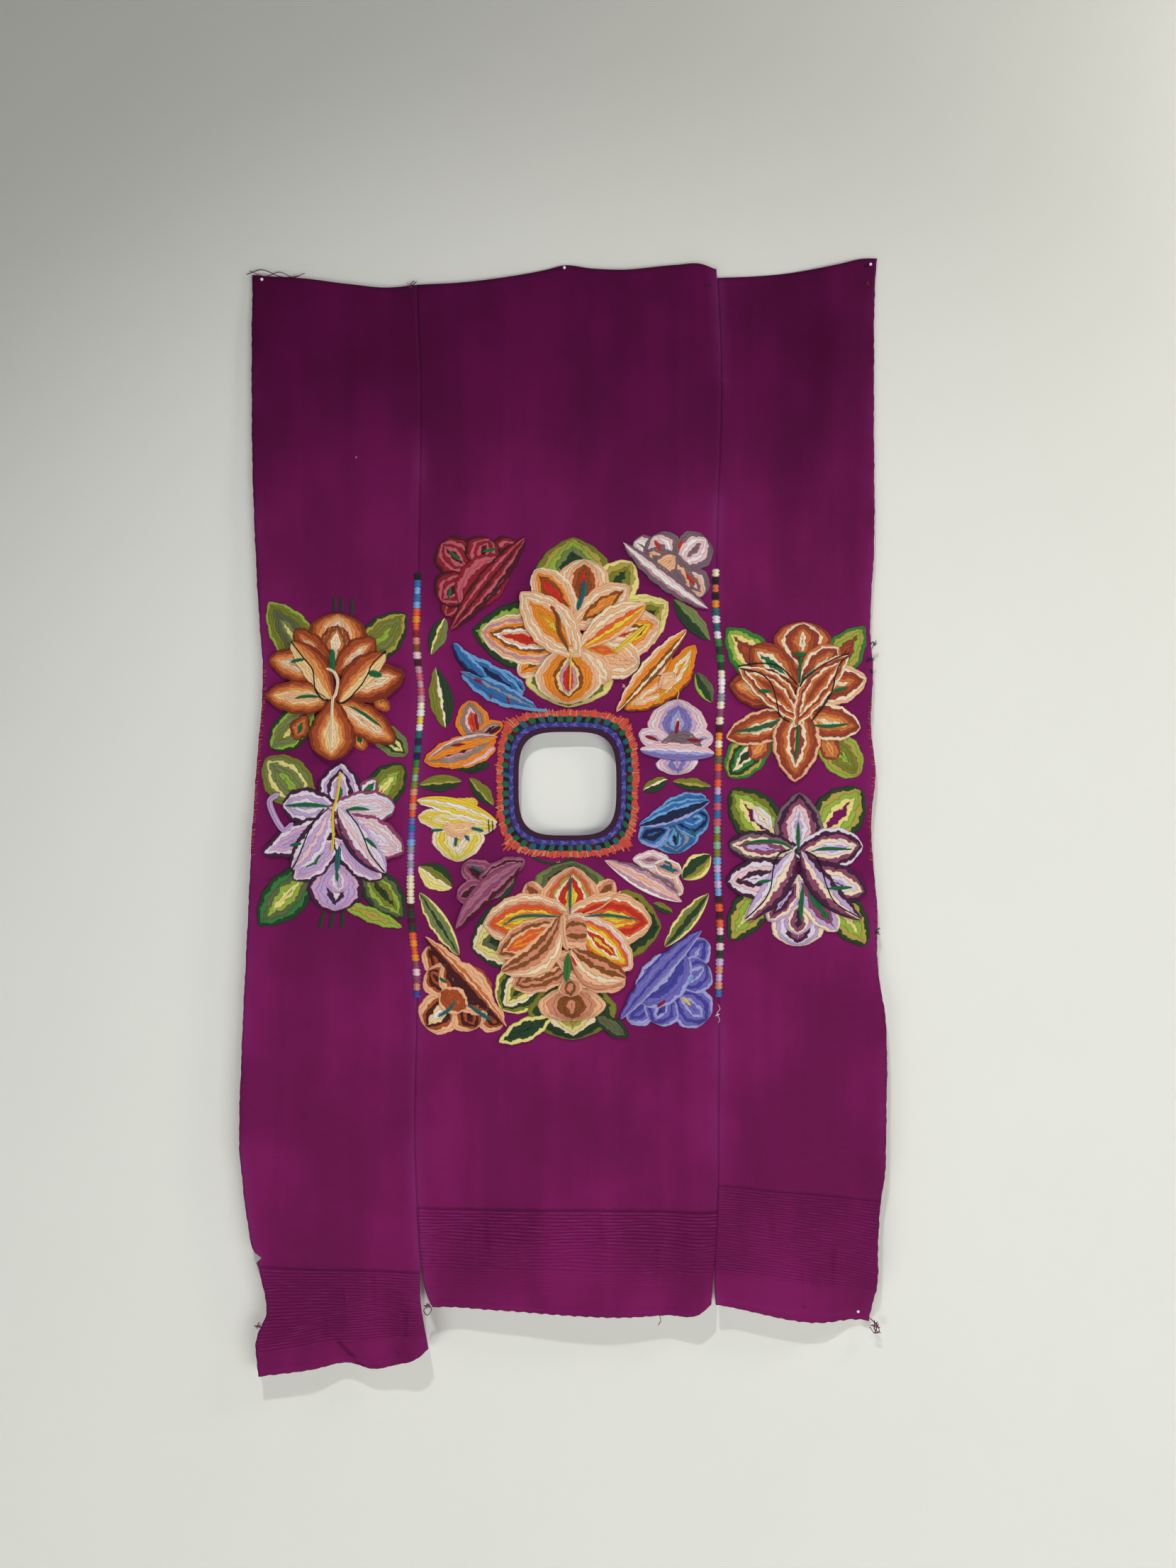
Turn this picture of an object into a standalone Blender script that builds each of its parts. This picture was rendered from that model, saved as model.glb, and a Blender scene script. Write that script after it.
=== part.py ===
"""Huipil blouse: three lengths of handwoven cotton joined by two randas, opened out flat with
the neck in the middle, embroidered round the neck, and held on a wall by four ball-headed pins.

Frame: metres, +Z up, the wall in the plane y = 0 and the cloth in front of it at -Y.
The origin is where the top centre pin enters the wall. Sizes are in millimetres and are
turned into metres where a mesh is made. "drop" is the depth below the origin.
"""
import math

import bmesh
import bpy
import numpy as np
from mathutils import Vector
from mathutils.bvhtree import BVHTree
from mathutils.geometry import delaunay_2d_cdt

MM = 0.001

CLOTH = 1.5            # thickness of the woven cotton with its nap
SEAM_GAP = 0.3         # between pieces that meet
LIFT = 0.35            # between the cloth and what is stitched on it
RIB_HEIGHT = 1.0       # the cords under the hem bands
PAD_LOW = 1.2          # height of the long-stitch embroidery
PAD_HIGH = 2.2         # height of the petals that are worked over the others
GRID = 60.0            # spacing of the cloth's rows where it has no ribs

# Standoff of the cloth's back from the wall, by drop.
BASE_STANDOFF = [(-20, 7), (150, 9), (500, 14), (820, 19), (1200, 22), (1500, 27), (1780, 34)]

# The largest folds: a soft ridge (or trough, where the height is negative) round each line.
# x0, drop0, x1, drop1, width, height
FOLDS = [
    (212, 1240, 212, 1650, 38, 9),
    (-215, 1150, -198, 1460, 36, 7),
    (-180, 1462, 150, 1474, 30, 5),
    (440, 110, 400, 360, 36, 8),
    (331, 25, 325, 380, 60, -5),
    (263, 1206, 335, 1440, 34, 6),
    (505, 1180, 508, 1420, 34, 9),
    (490, 1530, 486, 1640, 30, 8),
    (-395, 590, -400, 1560, 50, 6),
    (-488, 900, -512, 1400, 34, 6),
    (-380, 1700, -340, 1760, 34, -10),
    (-240, 1640, -228, 1730, 34, 12),
    (-60, 1560, 40, 1660, 90, 8),
    (-120, 120, -150, 400, 70, 5),
    (120, 90, 150, 380, 60, 4),
]

# node, x, drop, standoff of the cloth where the pin holds it
PINS = [
    ("pin_top_left", -480.5, 18.0, 4.0),
    ("pin_top_centre", 0.0, 0.0, 4.0),
    ("pin_top_right", 486.0, -5.5, 4.0),
    ("pin_bottom_right", 471.5, 1667.0, 6.0),
]
PIN_REACH = 48.0       # how far round a pin the cloth is drawn to the wall
PIN_HEAD_RADIUS = 2.2
PIN_SHANK_RADIUS = 0.6
PIN_HOLE_RADIUS = 1.1
PIN_IN_WALL = 12.0

# Upright edges and seams: drop, x
LEFT_EDGE = [(10, -496), (317, -495), (546, -485), (632, -479), (819, -490.5), (1055, -502),
             (1235, -511), (1429, -513.5), (1506, -505), (1557, -496), (1605, -481.5),
             (1667, -475), (1690, -486), (1760, -486)]
LEFT_SEAM = [(-30, -235), (28, -235), (172, -229.5), (470, -232), (610, -234), (678, -227),
             (756, -232), (844, -239.5), (1046, -242), (1126, -234), (1213, -235), (1368, -238),
             (1471, -235), (1558, -229.5), (1635, -227), (1711, -214.5)]
RIGHT_SEAM = [(-20, 240.5), (118, 247.5), (205, 248.5), (420, 242), (556, 241), (654, 250),
              (736, 246), (866, 243), (953, 243), (1059, 247.5), (1154, 245), (1351, 244.5),
              (1459, 244), (1570, 238.5), (1643, 233)]
RIGHT_EDGE = [(-16, 497), (25, 494), (197, 491.5), (445, 491.5), (580, 486), (642, 490),
              (721, 486.5), (812, 494), (870, 487.5), (942, 490), (1014, 497), (1108, 498),
              (1192, 508.5), (1349, 509.5), (1459, 506), (1518, 498), (1655, 493), (1681, 488)]

# Both seams are unpicked at the foot: drop where that starts, drop at the hem, gap at the hem
LEFT_PARTING = (1560, 1648, 17)
RIGHT_PARTING = (1575, 1645, 7)

# Upper and lower edges: x, drop
LEFT_TOP = [(-496, 10), (-412, 17), (-343, 26), (-282, 31.5), (-235, 27)]
CENTRE_TOP = [(-235, 27), (-171, 24), (-84, 13.5), (-28, 2), (-2, -4.5), (45, 1), (88, 3.5),
              (177, -4.5), (219, -5.6), (239, 2)]
RIGHT_TOP = [(243, 16), (306, 12), (370, 5.6), (435, -5.6), (474, -15.3), (497, -15.8)]
LEFT_HEM = [(-486, 1760), (-395, 1749), (-339, 1742.6), (-305, 1749), (-266, 1740),
            (-232, 1726), (-214, 1711)]
CENTRE_HEM = [(-210, 1648), (-108, 1654), (-18, 1659), (160, 1662), (218, 1655), (233, 1642.5)]
RIGHT_HEM = [(239, 1644), (294, 1657), (360, 1671), (471, 1680), (488, 1681)]

# node: drop of the first rib at the left and right edge, of the last one, ribs, columns
RIBS = {
    "left_panel": (1588, 1596, 1726, 1690, 24, 4),
    "centre_panel": (1494, 1500, 1622, 1631, 22, 8),
    "right_panel": (1458, 1484, 1592, 1628, 26, 4),
}
BACK_STEP = 8          # rib rows of the outer face to one row of the plain inside

# A small tear in the left edge: drop of its upper and lower lip and how deep it runs
TEAR = (1565, 1575, 12)

# Neck: centre, half width and half height of the opening, then the rings outwards from it
NECK_X, NECK_DROP = 5.0, 819.0
NECK_HALF_WIDTH, NECK_HALF_HEIGHT = 77.5, 82.0
NECK_SQUARENESS = 3.6
CROCHET_WIDTH = 15.0
BLOCKS_WIDTH = 13.0
BUTTONHOLE_WIDTH = 7.0
NECK_STEPS = 32
CROCHET_THICKNESS = 2.4

# Randas: seam, drop of the first and last bead, beads, width of a bead
RANDAS = {
    "left_randa": (LEFT_SEAM, 484, 1158, 58, 12.5),
    "right_randa": (RIGHT_SEAM, 478, 1158, 54, 12.5),
}
BEAD_WAIST = 0.62      # width between two beads, as a share of a bead's width
BEAD_HEIGHT = 2.0

# Petals and leaves: base x and z, tip x and z from the flower's centre, width,
# widest (below 1 towards the base, above 1 towards the tip), fullness (0.5 round, 1 pointed),
# bow to the left of the way from base to tip
SIDE_LILY_LEFT = [
    (-45, 70, -107, 156, 66, 0.9, 0.7, 0), (45, 70, 110, 139, 64, 1.0, 0.7, 0),
    (-40, -20, -104, -76, 58, 1.1, 0.6, 0), (60, -42, 112, -86, 42, 1.2, 0.5, 0),
    (32, -35, 42, -80, 30, 1.2, 0.6, 0), (58, 8, 84, -16, 24, 1.2, 0.6, 0),
    (0, 60, 5, 138, 94, 1.5, 0.5, 0), (-4, 44, -64, 112, 44, 1.3, 0.6, 0),
    (2, 44, 62, 98, 46, 1.3, 0.6, 0), (-15, 45, -106, 66, 54, 1.1, 0.6, 0),
    (-5, 2, -112, 8, 54, 1.1, 0.6, 0), (10, 15, 109, 42, 60, 1.1, 0.6, 0),
    (5, -5, 94, -66, 52, 1.1, 0.6, 0), (-2, 0, -6, -95, 72, 1.7, 0.6, 0),
]
SIDE_LILY_LEFT_FRONT = [(-4, -2, -67, 92, 44, 1.2, 0.6, -8), (6, -4, 78, 74, 44, 1.2, 0.6, 8)]
SIDE_ORCHID_LEFT = [
    (-45, 15, -112, 82, 76, 1.1, 0.6, 0), (50, 5, 107, 72, 60, 1.1, 0.6, 0),
    (-40, -95, -122, -182, 70, 1.1, 0.7, 0), (45, -95, 107, -172, 58, 1.1, 0.7, 0),
    (15, -150, 104, -186, 24, 1.1, 0.6, 0), (0, -90, 0, -160, 88, 1.2, 0.5, 0),
    (0, -50, -66, -110, 50, 1.2, 0.6, 0), (5, -50, 73, -110, 50, 1.2, 0.6, 0),
    (38, 20, 64, 48, 30, 1.2, 0.5, 0), (4, 0, 9, 76, 70, 0.9, 0.7, 0),
    (0, 4, -84, 9, 58, 1.4, 0.5, 0), (0, 4, 94, 5, 54, 1.4, 0.5, 0),
    (-10, -25, -115, -68, 52, 0.9, 0.7, 0), (10, -20, 108, -66, 64, 1.1, 0.6, 0),
]
SIDE_ORCHID_LEFT_FRONT = [(-8, 4, -68, -93, 44, 1.3, 0.6, 4), (4, 4, 79, -99, 46, 1.1, 0.6, -4)]
SIDE_LILY_RIGHT = [
    (-45, 15, -114, 92, 68, 0.9, 0.7, 0), (45, 15, 105, 95, 62, 0.9, 0.7, 0),
    (-50, -70, -110, -144, 62, 1.2, 0.5, 0), (40, -75, 96, -142, 62, 1.2, 0.5, 0),
    (38, -78, 60, -116, 34, 1.2, 0.5, 0), (5, 30, 8, 102, 92, 1.5, 0.5, 0),
    (-5, 5, -75, 62, 62, 1.3, 0.6, 0), (5, 5, 64, 62, 56, 1.3, 0.6, 0),
    (-15, -8, -110, 2, 66, 1.1, 0.6, 0), (15, -8, 108, 12, 64, 1.1, 0.6, 0),
    (-5, -50, -114, -82, 54, 1.1, 0.6, 0), (5, -50, 98, -66, 58, 1.1, 0.6, 0),
    (-2, -45, -6, -152, 76, 0.9, 0.7, 0),
]
SIDE_LILY_RIGHT_FRONT = [(-4, -52, -95, 29, 48, 1.1, 0.7, -10), (3, -52, 78, 49, 48, 1.1, 0.7, 10)]
SIDE_ORCHID_RIGHT = [
    (-30, 15, -106, 100, 76, 1.1, 0.6, 0), (30, 20, 100, 102, 80, 1.1, 0.6, 0),
    (-45, -45, -108, -138, 60, 1.1, 0.6, 0), (50, -60, 108, -146, 60, 1.1, 0.6, 0),
    (0, -85, 0, -148, 86, 1.2, 0.5, 0), (0, -45, -48, -108, 44, 1.2, 0.6, 0),
    (4, -45, 62, -124, 50, 1.2, 0.6, 0), (0, 0, 2, 96, 80, 0.9, 0.7, 0),
    (-2, 3, -111, 14, 54, 1.3, 0.6, 0), (2, 3, 102, 12, 66, 1.3, 0.6, 0),
    (-15, -35, -114, -46, 66, 1.1, 0.6, 0), (15, -35, 108, -62, 62, 1.1, 0.6, 0),
]
SIDE_ORCHID_RIGHT_FRONT = [(-6, 3, -84, -108, 42, 0.9, 0.7, 8), (4, 3, 100, -106, 42, 0.9, 0.7, -12)]
LARGE_LILY = [
    (-4, 85, -6, 172, 118, 0.9, 0.7, 0), (-40, 12, -166, 23, 108, 0.9, 0.8, 0),
    (45, 70, 88, 133, 70, 1.0, 0.6, 0), (50, 10, 146, 69, 88, 1.1, 0.8, 0),
    (-10, -25, -14, -98, 140, 1.0, 0.7, 0), (-46, -12, -92, -46, 40, 1.2, 0.5, 0),
    (10, 55, 13, 137, 84, 1.4, 0.5, 0), (-6, 45, -66, 120, 62, 1.3, 0.6, 0),
    (0, 34, 84, 94, 58, 1.2, 0.6, 0), (14, -6, 100, -30, 70, 1.3, 0.5, 0),
]
LARGE_LILY_FRONT = [(-3, -6, -88, 84, 74, 1.0, 0.7, 0), (5, -6, 110, 65, 48, 1.1, 0.7, 6)]
LARGE_ORCHID = [
    (2, 20, 8, 87, 120, 1.0, 0.7, 0), (-50, -18, -154, -51, 112, 1.0, 0.7, 0),
    (56, -12, 148, -18, 112, 0.9, 0.7, 0), (-40, -72, -106, -149, 84, 1.2, 0.6, 0),
    (5, -108, 8, -196, 142, 1.2, 0.6, 0), (-36, -166, -110, -200, 36, 1.0, 0.7, 0),
    (48, -160, 95, -192, 28, 1.1, 0.6, 0), (9, -70, -88, -112, 56, 1.1, 0.5, 0),
    (-5, -70, 90, -110, 58, 1.1, 0.5, 0), (3, -100, 4, -128, 40, 0.9, 0.6, 0),
    (-44, 22, -66, 52, 34, 1.2, 0.5, 0), (46, 24, 72, 56, 34, 1.2, 0.5, 0),
    (-8, 0, -134, -14, 86, 1.1, 0.6, 0), (8, 0, 133, -10, 88, 1.2, 0.6, 0),
]
LARGE_ORCHID_FRONT = [(8, -2, 90, -97, 54, 1.3, 0.6, -8), (-8, 0, -102, -88, 54, 1.3, 0.6, 10)]

# node, panel, centre x and z, sense of x and z, radius of its heart, low petals, high petals.
# Corner flowers are given from their outer corner, with x and z running inwards.
FLOWERS = [
    ("flower_left_upper", "left_panel", -362, -687, 1, 1, 38,
     SIDE_LILY_LEFT, SIDE_LILY_LEFT_FRONT),
    ("flower_left_lower", "left_panel", -362, -861, 1, 1, 38,
     SIDE_ORCHID_LEFT, SIDE_ORCHID_LEFT_FRONT),
    ("flower_right_upper", "right_panel", 371, -664, 1, 1, 38,
     SIDE_LILY_RIGHT, SIDE_LILY_RIGHT_FRONT),
    ("flower_right_lower", "right_panel", 371, -929, 1, 1, 38,
     SIDE_ORCHID_RIGHT, SIDE_ORCHID_RIGHT_FRONT),
    ("flower_centre_upper", "centre_panel", 19, -600, 1, 1, 38,
     LARGE_LILY, LARGE_LILY_FRONT),
    ("flower_centre_lower", "centre_panel", 6, -1029, 1, 1, 38,
     LARGE_ORCHID, LARGE_ORCHID_FRONT),
    ("flower_corner_upper_left", "centre_panel", -202, -430, 1, -1, 0,
     [(54, 54, 7, 8, 66, 1.2, 0.38, 0), (84, 36, 127, 5, 46, 1.1, 0.5, 0),
      (62, 46, 84, 1, 62, 1.1, 0.42, 0), (40, 82, 13, 124, 42, 1.1, 0.5, 0),
      (46, 60, 6, 100, 64, 1.1, 0.42, 0), (36, 104, 106, 32, 74, 1.0, 0.45, 0)],
     [(22, 145, 140, -1, 40, 1.0, 0.7, 0)]),
    ("flower_corner_upper_right", "centre_panel", 231, -424, -1, -1, 0,
     [(50, 48, 5, 6, 64, 1.2, 0.38, 0), (82, 32, 121, 11, 40, 1.1, 0.5, 0),
      (64, 42, 90, 2, 62, 1.1, 0.42, 0), (44, 56, 10, 97, 53, 1.1, 0.42, 0),
      (54, 34, 84, 60, 36, 1.0, 0.5, 0)],
     [(3, 118, 138, 13, 30, 1.0, 0.7, 5)]),
    ("flower_corner_lower_left", "centre_panel", -226, -1210, 1, 1, 0,
     [(64, 104, 110, 64, 26, 1.0, 0.5, 0), (54, 52, 6, 6, 68, 1.2, 0.38, 0),
      (86, 34, 128, 5, 46, 1.1, 0.5, 0), (64, 44, 86, 2, 62, 1.1, 0.42, 0),
      (38, 86, 8, 132, 44, 1.1, 0.5, 0), (48, 62, 10, 96, 56, 1.1, 0.42, 0),
      (30, 62, 70, 34, 44, 1.0, 0.5, 0)],
     [(5, 148, 134, 5, 30, 1.0, 0.7, 4)]),
    ("flower_corner_lower_right", "centre_panel", 231, -1201, -1, 1, 0,
     [(54, 52, 6, 6, 68, 1.2, 0.38, 0), (88, 34, 131, 6, 46, 1.1, 0.5, 0),
      (63, 44, 90, 3, 60, 1.1, 0.42, 0), (38, 88, 7, 135, 46, 1.1, 0.5, 0),
      (46, 60, 5, 96, 64, 1.1, 0.42, 0), (36, 108, 110, 34, 76, 1.0, 0.45, 0)],
     [(13, 150, 142, 8, 32, 1.0, 0.7, 6)]),
    ("flower_neck_blue_left", "centre_panel", -103, -659, 1, 1, 0,
     [(-20, 22, 40, -12, 28, 1.1, 0.5, 0), (-72, 50, 38, -18, 30, 1.1, 0.6, 0),
      (-60, 12, 42, -38, 34, 1.1, 0.6, 0)],
     [(-62, 18, 60, -42, 24, 1.2, 0.6, 0), (-73, 62, -20, 8, 22, 0.9, 0.6, -4)]),
    ("flower_neck_orange", "centre_panel", -152, -742, 1, 1, 0,
     [(4, -38, 4, -60, 56, 0.8, 0.5, 0), (43, -20, -40, -46, 34, 1.0, 0.5, 0),
      (12, -10, 0, 55, 54, 0.9, 0.6, 0), (10, -4, 54, 20, 28, 1.0, 0.6, 0),
      (44, -8, -70, -42, 46, 1.1, 0.6, 0)],
     [(47, -3, -64, -40, 22, 1.0, 0.6, -8)]),
    ("flower_neck_yellow", "centre_panel", -168, -889, 1, 1, 0,
     [(-28, 24, 31, 41, 28, 1.1, 0.5, 0), (0, 12, -2, -54, 84, 0.8, 0.6, 0),
      (60, 2, -64, 18, 44, 1.0, 0.5, 0)],
     [(62, 8, -66, 44, 28, 1.0, 0.6, -6)]),
    ("flower_neck_mauve", "centre_panel", -116, -987, 1, 1, 0,
     [(38, 22, 10, -16, 20, 1.0, 0.6, 0), (14, 8, -46, 38, 46, 1.1, 0.5, 0),
      (54, 47, -20, 16, 34, 0.9, 0.6, 0), (-4, 8, -54, -14, 40, 1.1, 0.6, 0)],
     [(50, 42, -56, -62, 34, 0.9, 0.7, -10)]),
    ("flower_neck_golden", "centre_panel", 147, -647, 1, 1, 0,
     [(2, 32, -28, -6, 28, 1.0, 0.5, 0), (-34, -26, 22, 34, 42, 1.1, 0.5, 0),
      (-52, -54, 58, 6, 44, 1.0, 0.6, 0), (6, -40, 60, 48, 36, 1.1, 0.6, 0)],
     [(-64, -58, 47, 72, 30, 1.1, 0.6, 4)]),
    ("flower_neck_lavender", "centre_panel", 178, -743, 1, 1, 0,
     [(0, -28, 2, -62, 66, 0.9, 0.5, 0), (0, -10, 3, 58, 94, 0.8, 0.6, 0),
      (-6, -12, -60, 4, 34, 1.2, 0.5, 0), (14, -10, 58, -2, 36, 1.1, 0.5, 0)],
     [(-58, -22, 60, -28, 28, 1.0, 0.5, 0)]),
    ("flower_neck_blue_right", "centre_panel", 173, -882, 1, 1, 0,
     [(-30, 14, 52, 42, 36, 1.1, 0.6, 0), (0, -4, 6, -48, 76, 0.9, 0.6, 0),
      (0, 0, 57, 10, 56, 1.2, 0.6, 0), (-6, -8, -56, -24, 44, 1.1, 0.6, 0)],
     [(-54, -4, 58, 36, 36, 1.0, 0.7, 0)]),
    ("flower_neck_pink", "centre_panel", 130, -968, 1, 1, 0,
     [(-22, 29, 38, 26, 32, 1.1, 0.6, 0), (-4, 12, 58, -26, 46, 1.1, 0.6, 0),
      (12, 22, 56, 8, 30, 1.1, 0.5, 0)],
     [(-66, 28, 57, -38, 34, 1.1, 0.7, 2)]),
]

# Single leaves on the centre panel: node, base x and z, tip x and z, width
LEAVES = [
    ("leaf_upper_left", -190, -556, -212, -614, 28),
    ("leaf_left", -188, -730, -204, -634, 38),
    ("leaf_neck_left", -163, -815, -230, -821, 27),
    ("leaf_neck_left_inner", -151, -810, -112, -853, 24),
    ("leaf_lower_left_outer", -178, -984, -231, -950, 42),
    ("leaf_lower_left", -167, -1091, -230, -992, 30),
    ("leaf_upper_right", 173, -527, 231, -592, 30),
    ("leaf_right", 209, -643, 235, -690, 26),
    ("leaf_neck_right_inner", 125, -830, 164, -812, 22),
    ("leaf_neck_right", 172, -816, 233, -824, 20),
    ("leaf_lower_right_outer", 188, -970, 232, -932, 38),
    ("leaf_lower_right_inner", 141, -1009, 172, -1024, 15),
    ("leaf_lower_right", 160, -1078, 229, -993, 30),
]

# name: colour, roughness, metallic
FINISHES = {
    "cotton": ((0.13, 0.006, 0.075, 1), 0.85, 0.0),
    "petal_thread": ((0.80, 0.33, 0.12, 1), 0.7, 0.0),
    "leaf_thread": ((0.16, 0.24, 0.05, 1), 0.7, 0.0),
    "randa_thread": ((0.55, 0.25, 0.35, 1), 0.7, 0.0),
    "crochet_thread": ((0.07, 0.03, 0.25, 1), 0.75, 0.0),
    "block_thread": ((0.01, 0.13, 0.07, 1), 0.7, 0.0),
    "coral_thread": ((0.65, 0.07, 0.05, 1), 0.7, 0.0),
    "pin_enamel": ((0.86, 0.85, 0.82, 1), 0.3, 0.0),
}


def finish(name):
    """The material of that name, made on its first use."""
    if name in bpy.data.materials:
        return bpy.data.materials[name]
    colour, roughness, metallic = FINISHES[name]
    material = bpy.data.materials.new(name)
    material.use_nodes = True
    shader = material.node_tree.nodes["Principled BSDF"]
    shader.inputs["Base Color"].default_value = colour
    shader.inputs["Roughness"].default_value = roughness
    shader.inputs["Metallic"].default_value = metallic
    material.diffuse_color = colour
    return material


def curve(rows, at):
    """Smooth curve through (place, value) rows, flat beyond its ends: cubic pieces whose
    slope at each row is that of its neighbours."""
    place = np.array([row[0] for row in rows], dtype=float)
    value = np.array([row[1] for row in rows], dtype=float)
    slope = np.gradient(value, place)
    at = np.clip(at, place[0], place[-1])
    i = np.clip(np.searchsorted(place, at, side="right") - 1, 0, len(place) - 2)
    step = place[i + 1] - place[i]
    t = (at - place[i]) / step
    return (value[i] * (2 * t**3 - 3 * t**2 + 1) + step * slope[i] * (t**3 - 2 * t**2 + t)
            + value[i + 1] * (3 * t**2 - 2 * t**3) + step * slope[i + 1] * (t**3 - t**2))


def segment_distance(x, drop, x0, drop0, x1, drop1):
    """Distance of each point to the line from (x0, drop0) to (x1, drop1)."""
    along_x, along_drop = x1 - x0, drop1 - drop0
    t = ((x - x0) * along_x + (drop - drop0) * along_drop) / (along_x**2 + along_drop**2)
    t = np.clip(t, 0, 1)
    return np.hypot(x - x0 - t * along_x, drop - drop0 - t * along_drop)


def standoff(x, drop):
    """Distance of the cloth's back from the wall: the base, the folds, and the pull of the pins."""
    out = curve(BASE_STANDOFF, drop)
    for x0, drop0, x1, drop1, width, height in FOLDS:
        out = out + height * np.exp(-(segment_distance(x, drop, x0, drop0, x1, drop1) / width)**2)
    for _, pin_x, pin_drop, held_at in PINS:
        hold = np.exp(-((x - pin_x)**2 + (drop - pin_drop)**2) / PIN_REACH**2)
        out = out * (1 - hold) + held_at * hold
    return out


def parting(drop, row):
    """How far a seam has come apart at a drop: nothing above its start, then a widening gap."""
    start, end, gap = row
    return gap * np.clip((drop - start) / (end - start), 0, 1.2)**2


def left_panel_sides(drop):
    """The left panel's two edges at a drop: the free one and the one along its seam."""
    return curve(LEFT_EDGE, drop), curve(LEFT_SEAM, drop) - SEAM_GAP / 2


def centre_panel_sides(drop):
    """The centre panel's two edges at a drop, the left one drawn back where its seam has parted."""
    left = curve(LEFT_SEAM, drop) + SEAM_GAP / 2 + parting(drop, LEFT_PARTING)
    return left, curve(RIGHT_SEAM, drop) - SEAM_GAP / 2


def right_panel_sides(drop):
    """The right panel's two edges at a drop, the left one drawn back where its seam has parted."""
    left = curve(RIGHT_SEAM, drop) + SEAM_GAP / 2 + parting(drop, RIGHT_PARTING)
    return left, curve(RIGHT_EDGE, drop)


PANELS = {
    "left_panel": (left_panel_sides, LEFT_TOP, LEFT_HEM),
    "centre_panel": (centre_panel_sides, CENTRE_TOP, CENTRE_HEM),
    "right_panel": (right_panel_sides, RIGHT_TOP, RIGHT_HEM),
}


def panel_rows(node):
    """The panel's rows as arrays of x, drop and rib height, one row for each line across it,
    and the numbers of the rows that its plain inside has too."""
    sides, top, hem = PANELS[node]
    first_left, first_right, last_left, last_right, ribs, columns = RIBS[node]
    u = np.linspace(0, 1, columns + 1)
    drops, heights = [], []
    left, right = sides(np.array(0.0))
    drops.append(curve(top, left + (right - left) * u))
    heights.append(0.0)
    for drop in np.arange(GRID, min(first_left, first_right) - GRID / 3, GRID):
        drops.append(np.full(columns + 1, drop))
        heights.append(0.0)
    first_rib_row = len(drops)
    for step in range(2 * ribs + 1):
        share = step / (2 * ribs)
        first = first_left + (first_right - first_left) * u
        last = last_left + (last_right - last_left) * u
        drops.append(first + (last - first) * share)
        heights.append(RIB_HEIGHT if step % 2 else 0.0)
    last_rib_row = len(drops) - 1
    left, right = sides(np.array(float(hem[0][1])))
    drops.append(curve(hem, left + (right - left) * u))
    heights.append(0.0)
    drop = np.array(drops)
    left, right = sides(drop)
    x = left + (right - left) * u
    inside = list(range(first_rib_row)) + list(range(first_rib_row, last_rib_row, BACK_STEP))
    inside += [last_rib_row, len(drops) - 1]
    return x, drop, np.array(heights)[:, None], inside


def new_object(name, points, faces, material):
    """An object with that mesh, its points given in millimetres."""
    mesh = bpy.data.meshes.new(name)
    mesh.from_pydata([tuple(float(c) * MM for c in point) for point in points], [], faces)
    mesh.validate()
    mesh.update()
    obj = bpy.data.objects.new(name, mesh)
    bpy.context.scene.collection.objects.link(obj)
    if material:
        mesh.materials.append(finish(material))
    else:
        obj.hide_render = True
        obj.display_type = "WIRE"
    return obj


def sheet_faces(count_rows, columns, start, flip):
    """Two triangles to each cell of a grid of points, always on the same diagonal."""
    faces = []
    for row in range(count_rows - 1):
        for column in range(columns):
            a = start + row * (columns + 1) + column
            b, c, d = a + 1, a + columns + 1, a + columns + 2
            faces += [(a, b, c), (b, d, c)] if flip else [(a, c, b), (b, c, d)]
    return faces


def wall(name, x, drop, front_y, back_y, inside, material):
    """A closed wall between a front grid and a back grid that has only the rows named in
    inside. Its rim is a strip of faces from each back cell to the front points beside it."""
    rows, columns = x.shape[0], x.shape[1] - 1
    front = np.stack([x, front_y, -drop], axis=-1).reshape(-1, 3)
    back = np.stack([x[inside], back_y[inside], -drop[inside]], axis=-1).reshape(-1, 3)
    start = len(front)
    faces = sheet_faces(rows, columns, 0, False)
    faces += sheet_faces(len(inside), columns, start, True)
    for number in range(len(inside) - 1):
        upper, lower = inside[number], inside[number + 1]
        for column, turn in ((0, 1), (columns, -1)):
            rim = [start + number * (columns + 1) + column]
            rim += [row * (columns + 1) + column for row in range(upper, lower + 1)]
            rim += [start + (number + 1) * (columns + 1) + column]
            faces.append(rim[::-turn])
    last_back = start + (len(inside) - 1) * (columns + 1)
    last_front = (rows - 1) * (columns + 1)
    for column in range(columns):
        faces.append((column, column + 1, start + column + 1, start + column))
        faces.append((last_front + column + 1, last_front + column,
                      last_back + column, last_back + column + 1))
    obj = new_object(name, np.concatenate([front, back]), faces, material)
    shell = bmesh.new()
    shell.from_mesh(obj.data)
    bmesh.ops.recalc_face_normals(shell, faces=shell.faces)
    bmesh.ops.triangulate(shell, faces=[face for face in shell.faces if len(face.verts) > 3])
    shell.to_mesh(obj.data)
    shell.free()
    return obj


def region(outlines):
    """The area that some outlines cover together, as points and triangles without overlaps."""
    points, faces = [], []
    for outline in outlines:
        outline = np.array(outline, dtype=float)
        after = np.roll(outline, -1, axis=0)
        if np.sum(outline[:, 0] * after[:, 1] - after[:, 0] * outline[:, 1]) < 0:
            outline = outline[::-1]
        faces.append(list(range(len(points), len(points) + len(outline))))
        points += [Vector(pair) for pair in outline.tolist()]
    found = delaunay_2d_cdt(points, [], faces, 1, 0.01)
    corners, triangles, sources = found[0], found[2], found[5]
    return corners, [tri for tri, source in zip(triangles, sources) if source]


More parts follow.
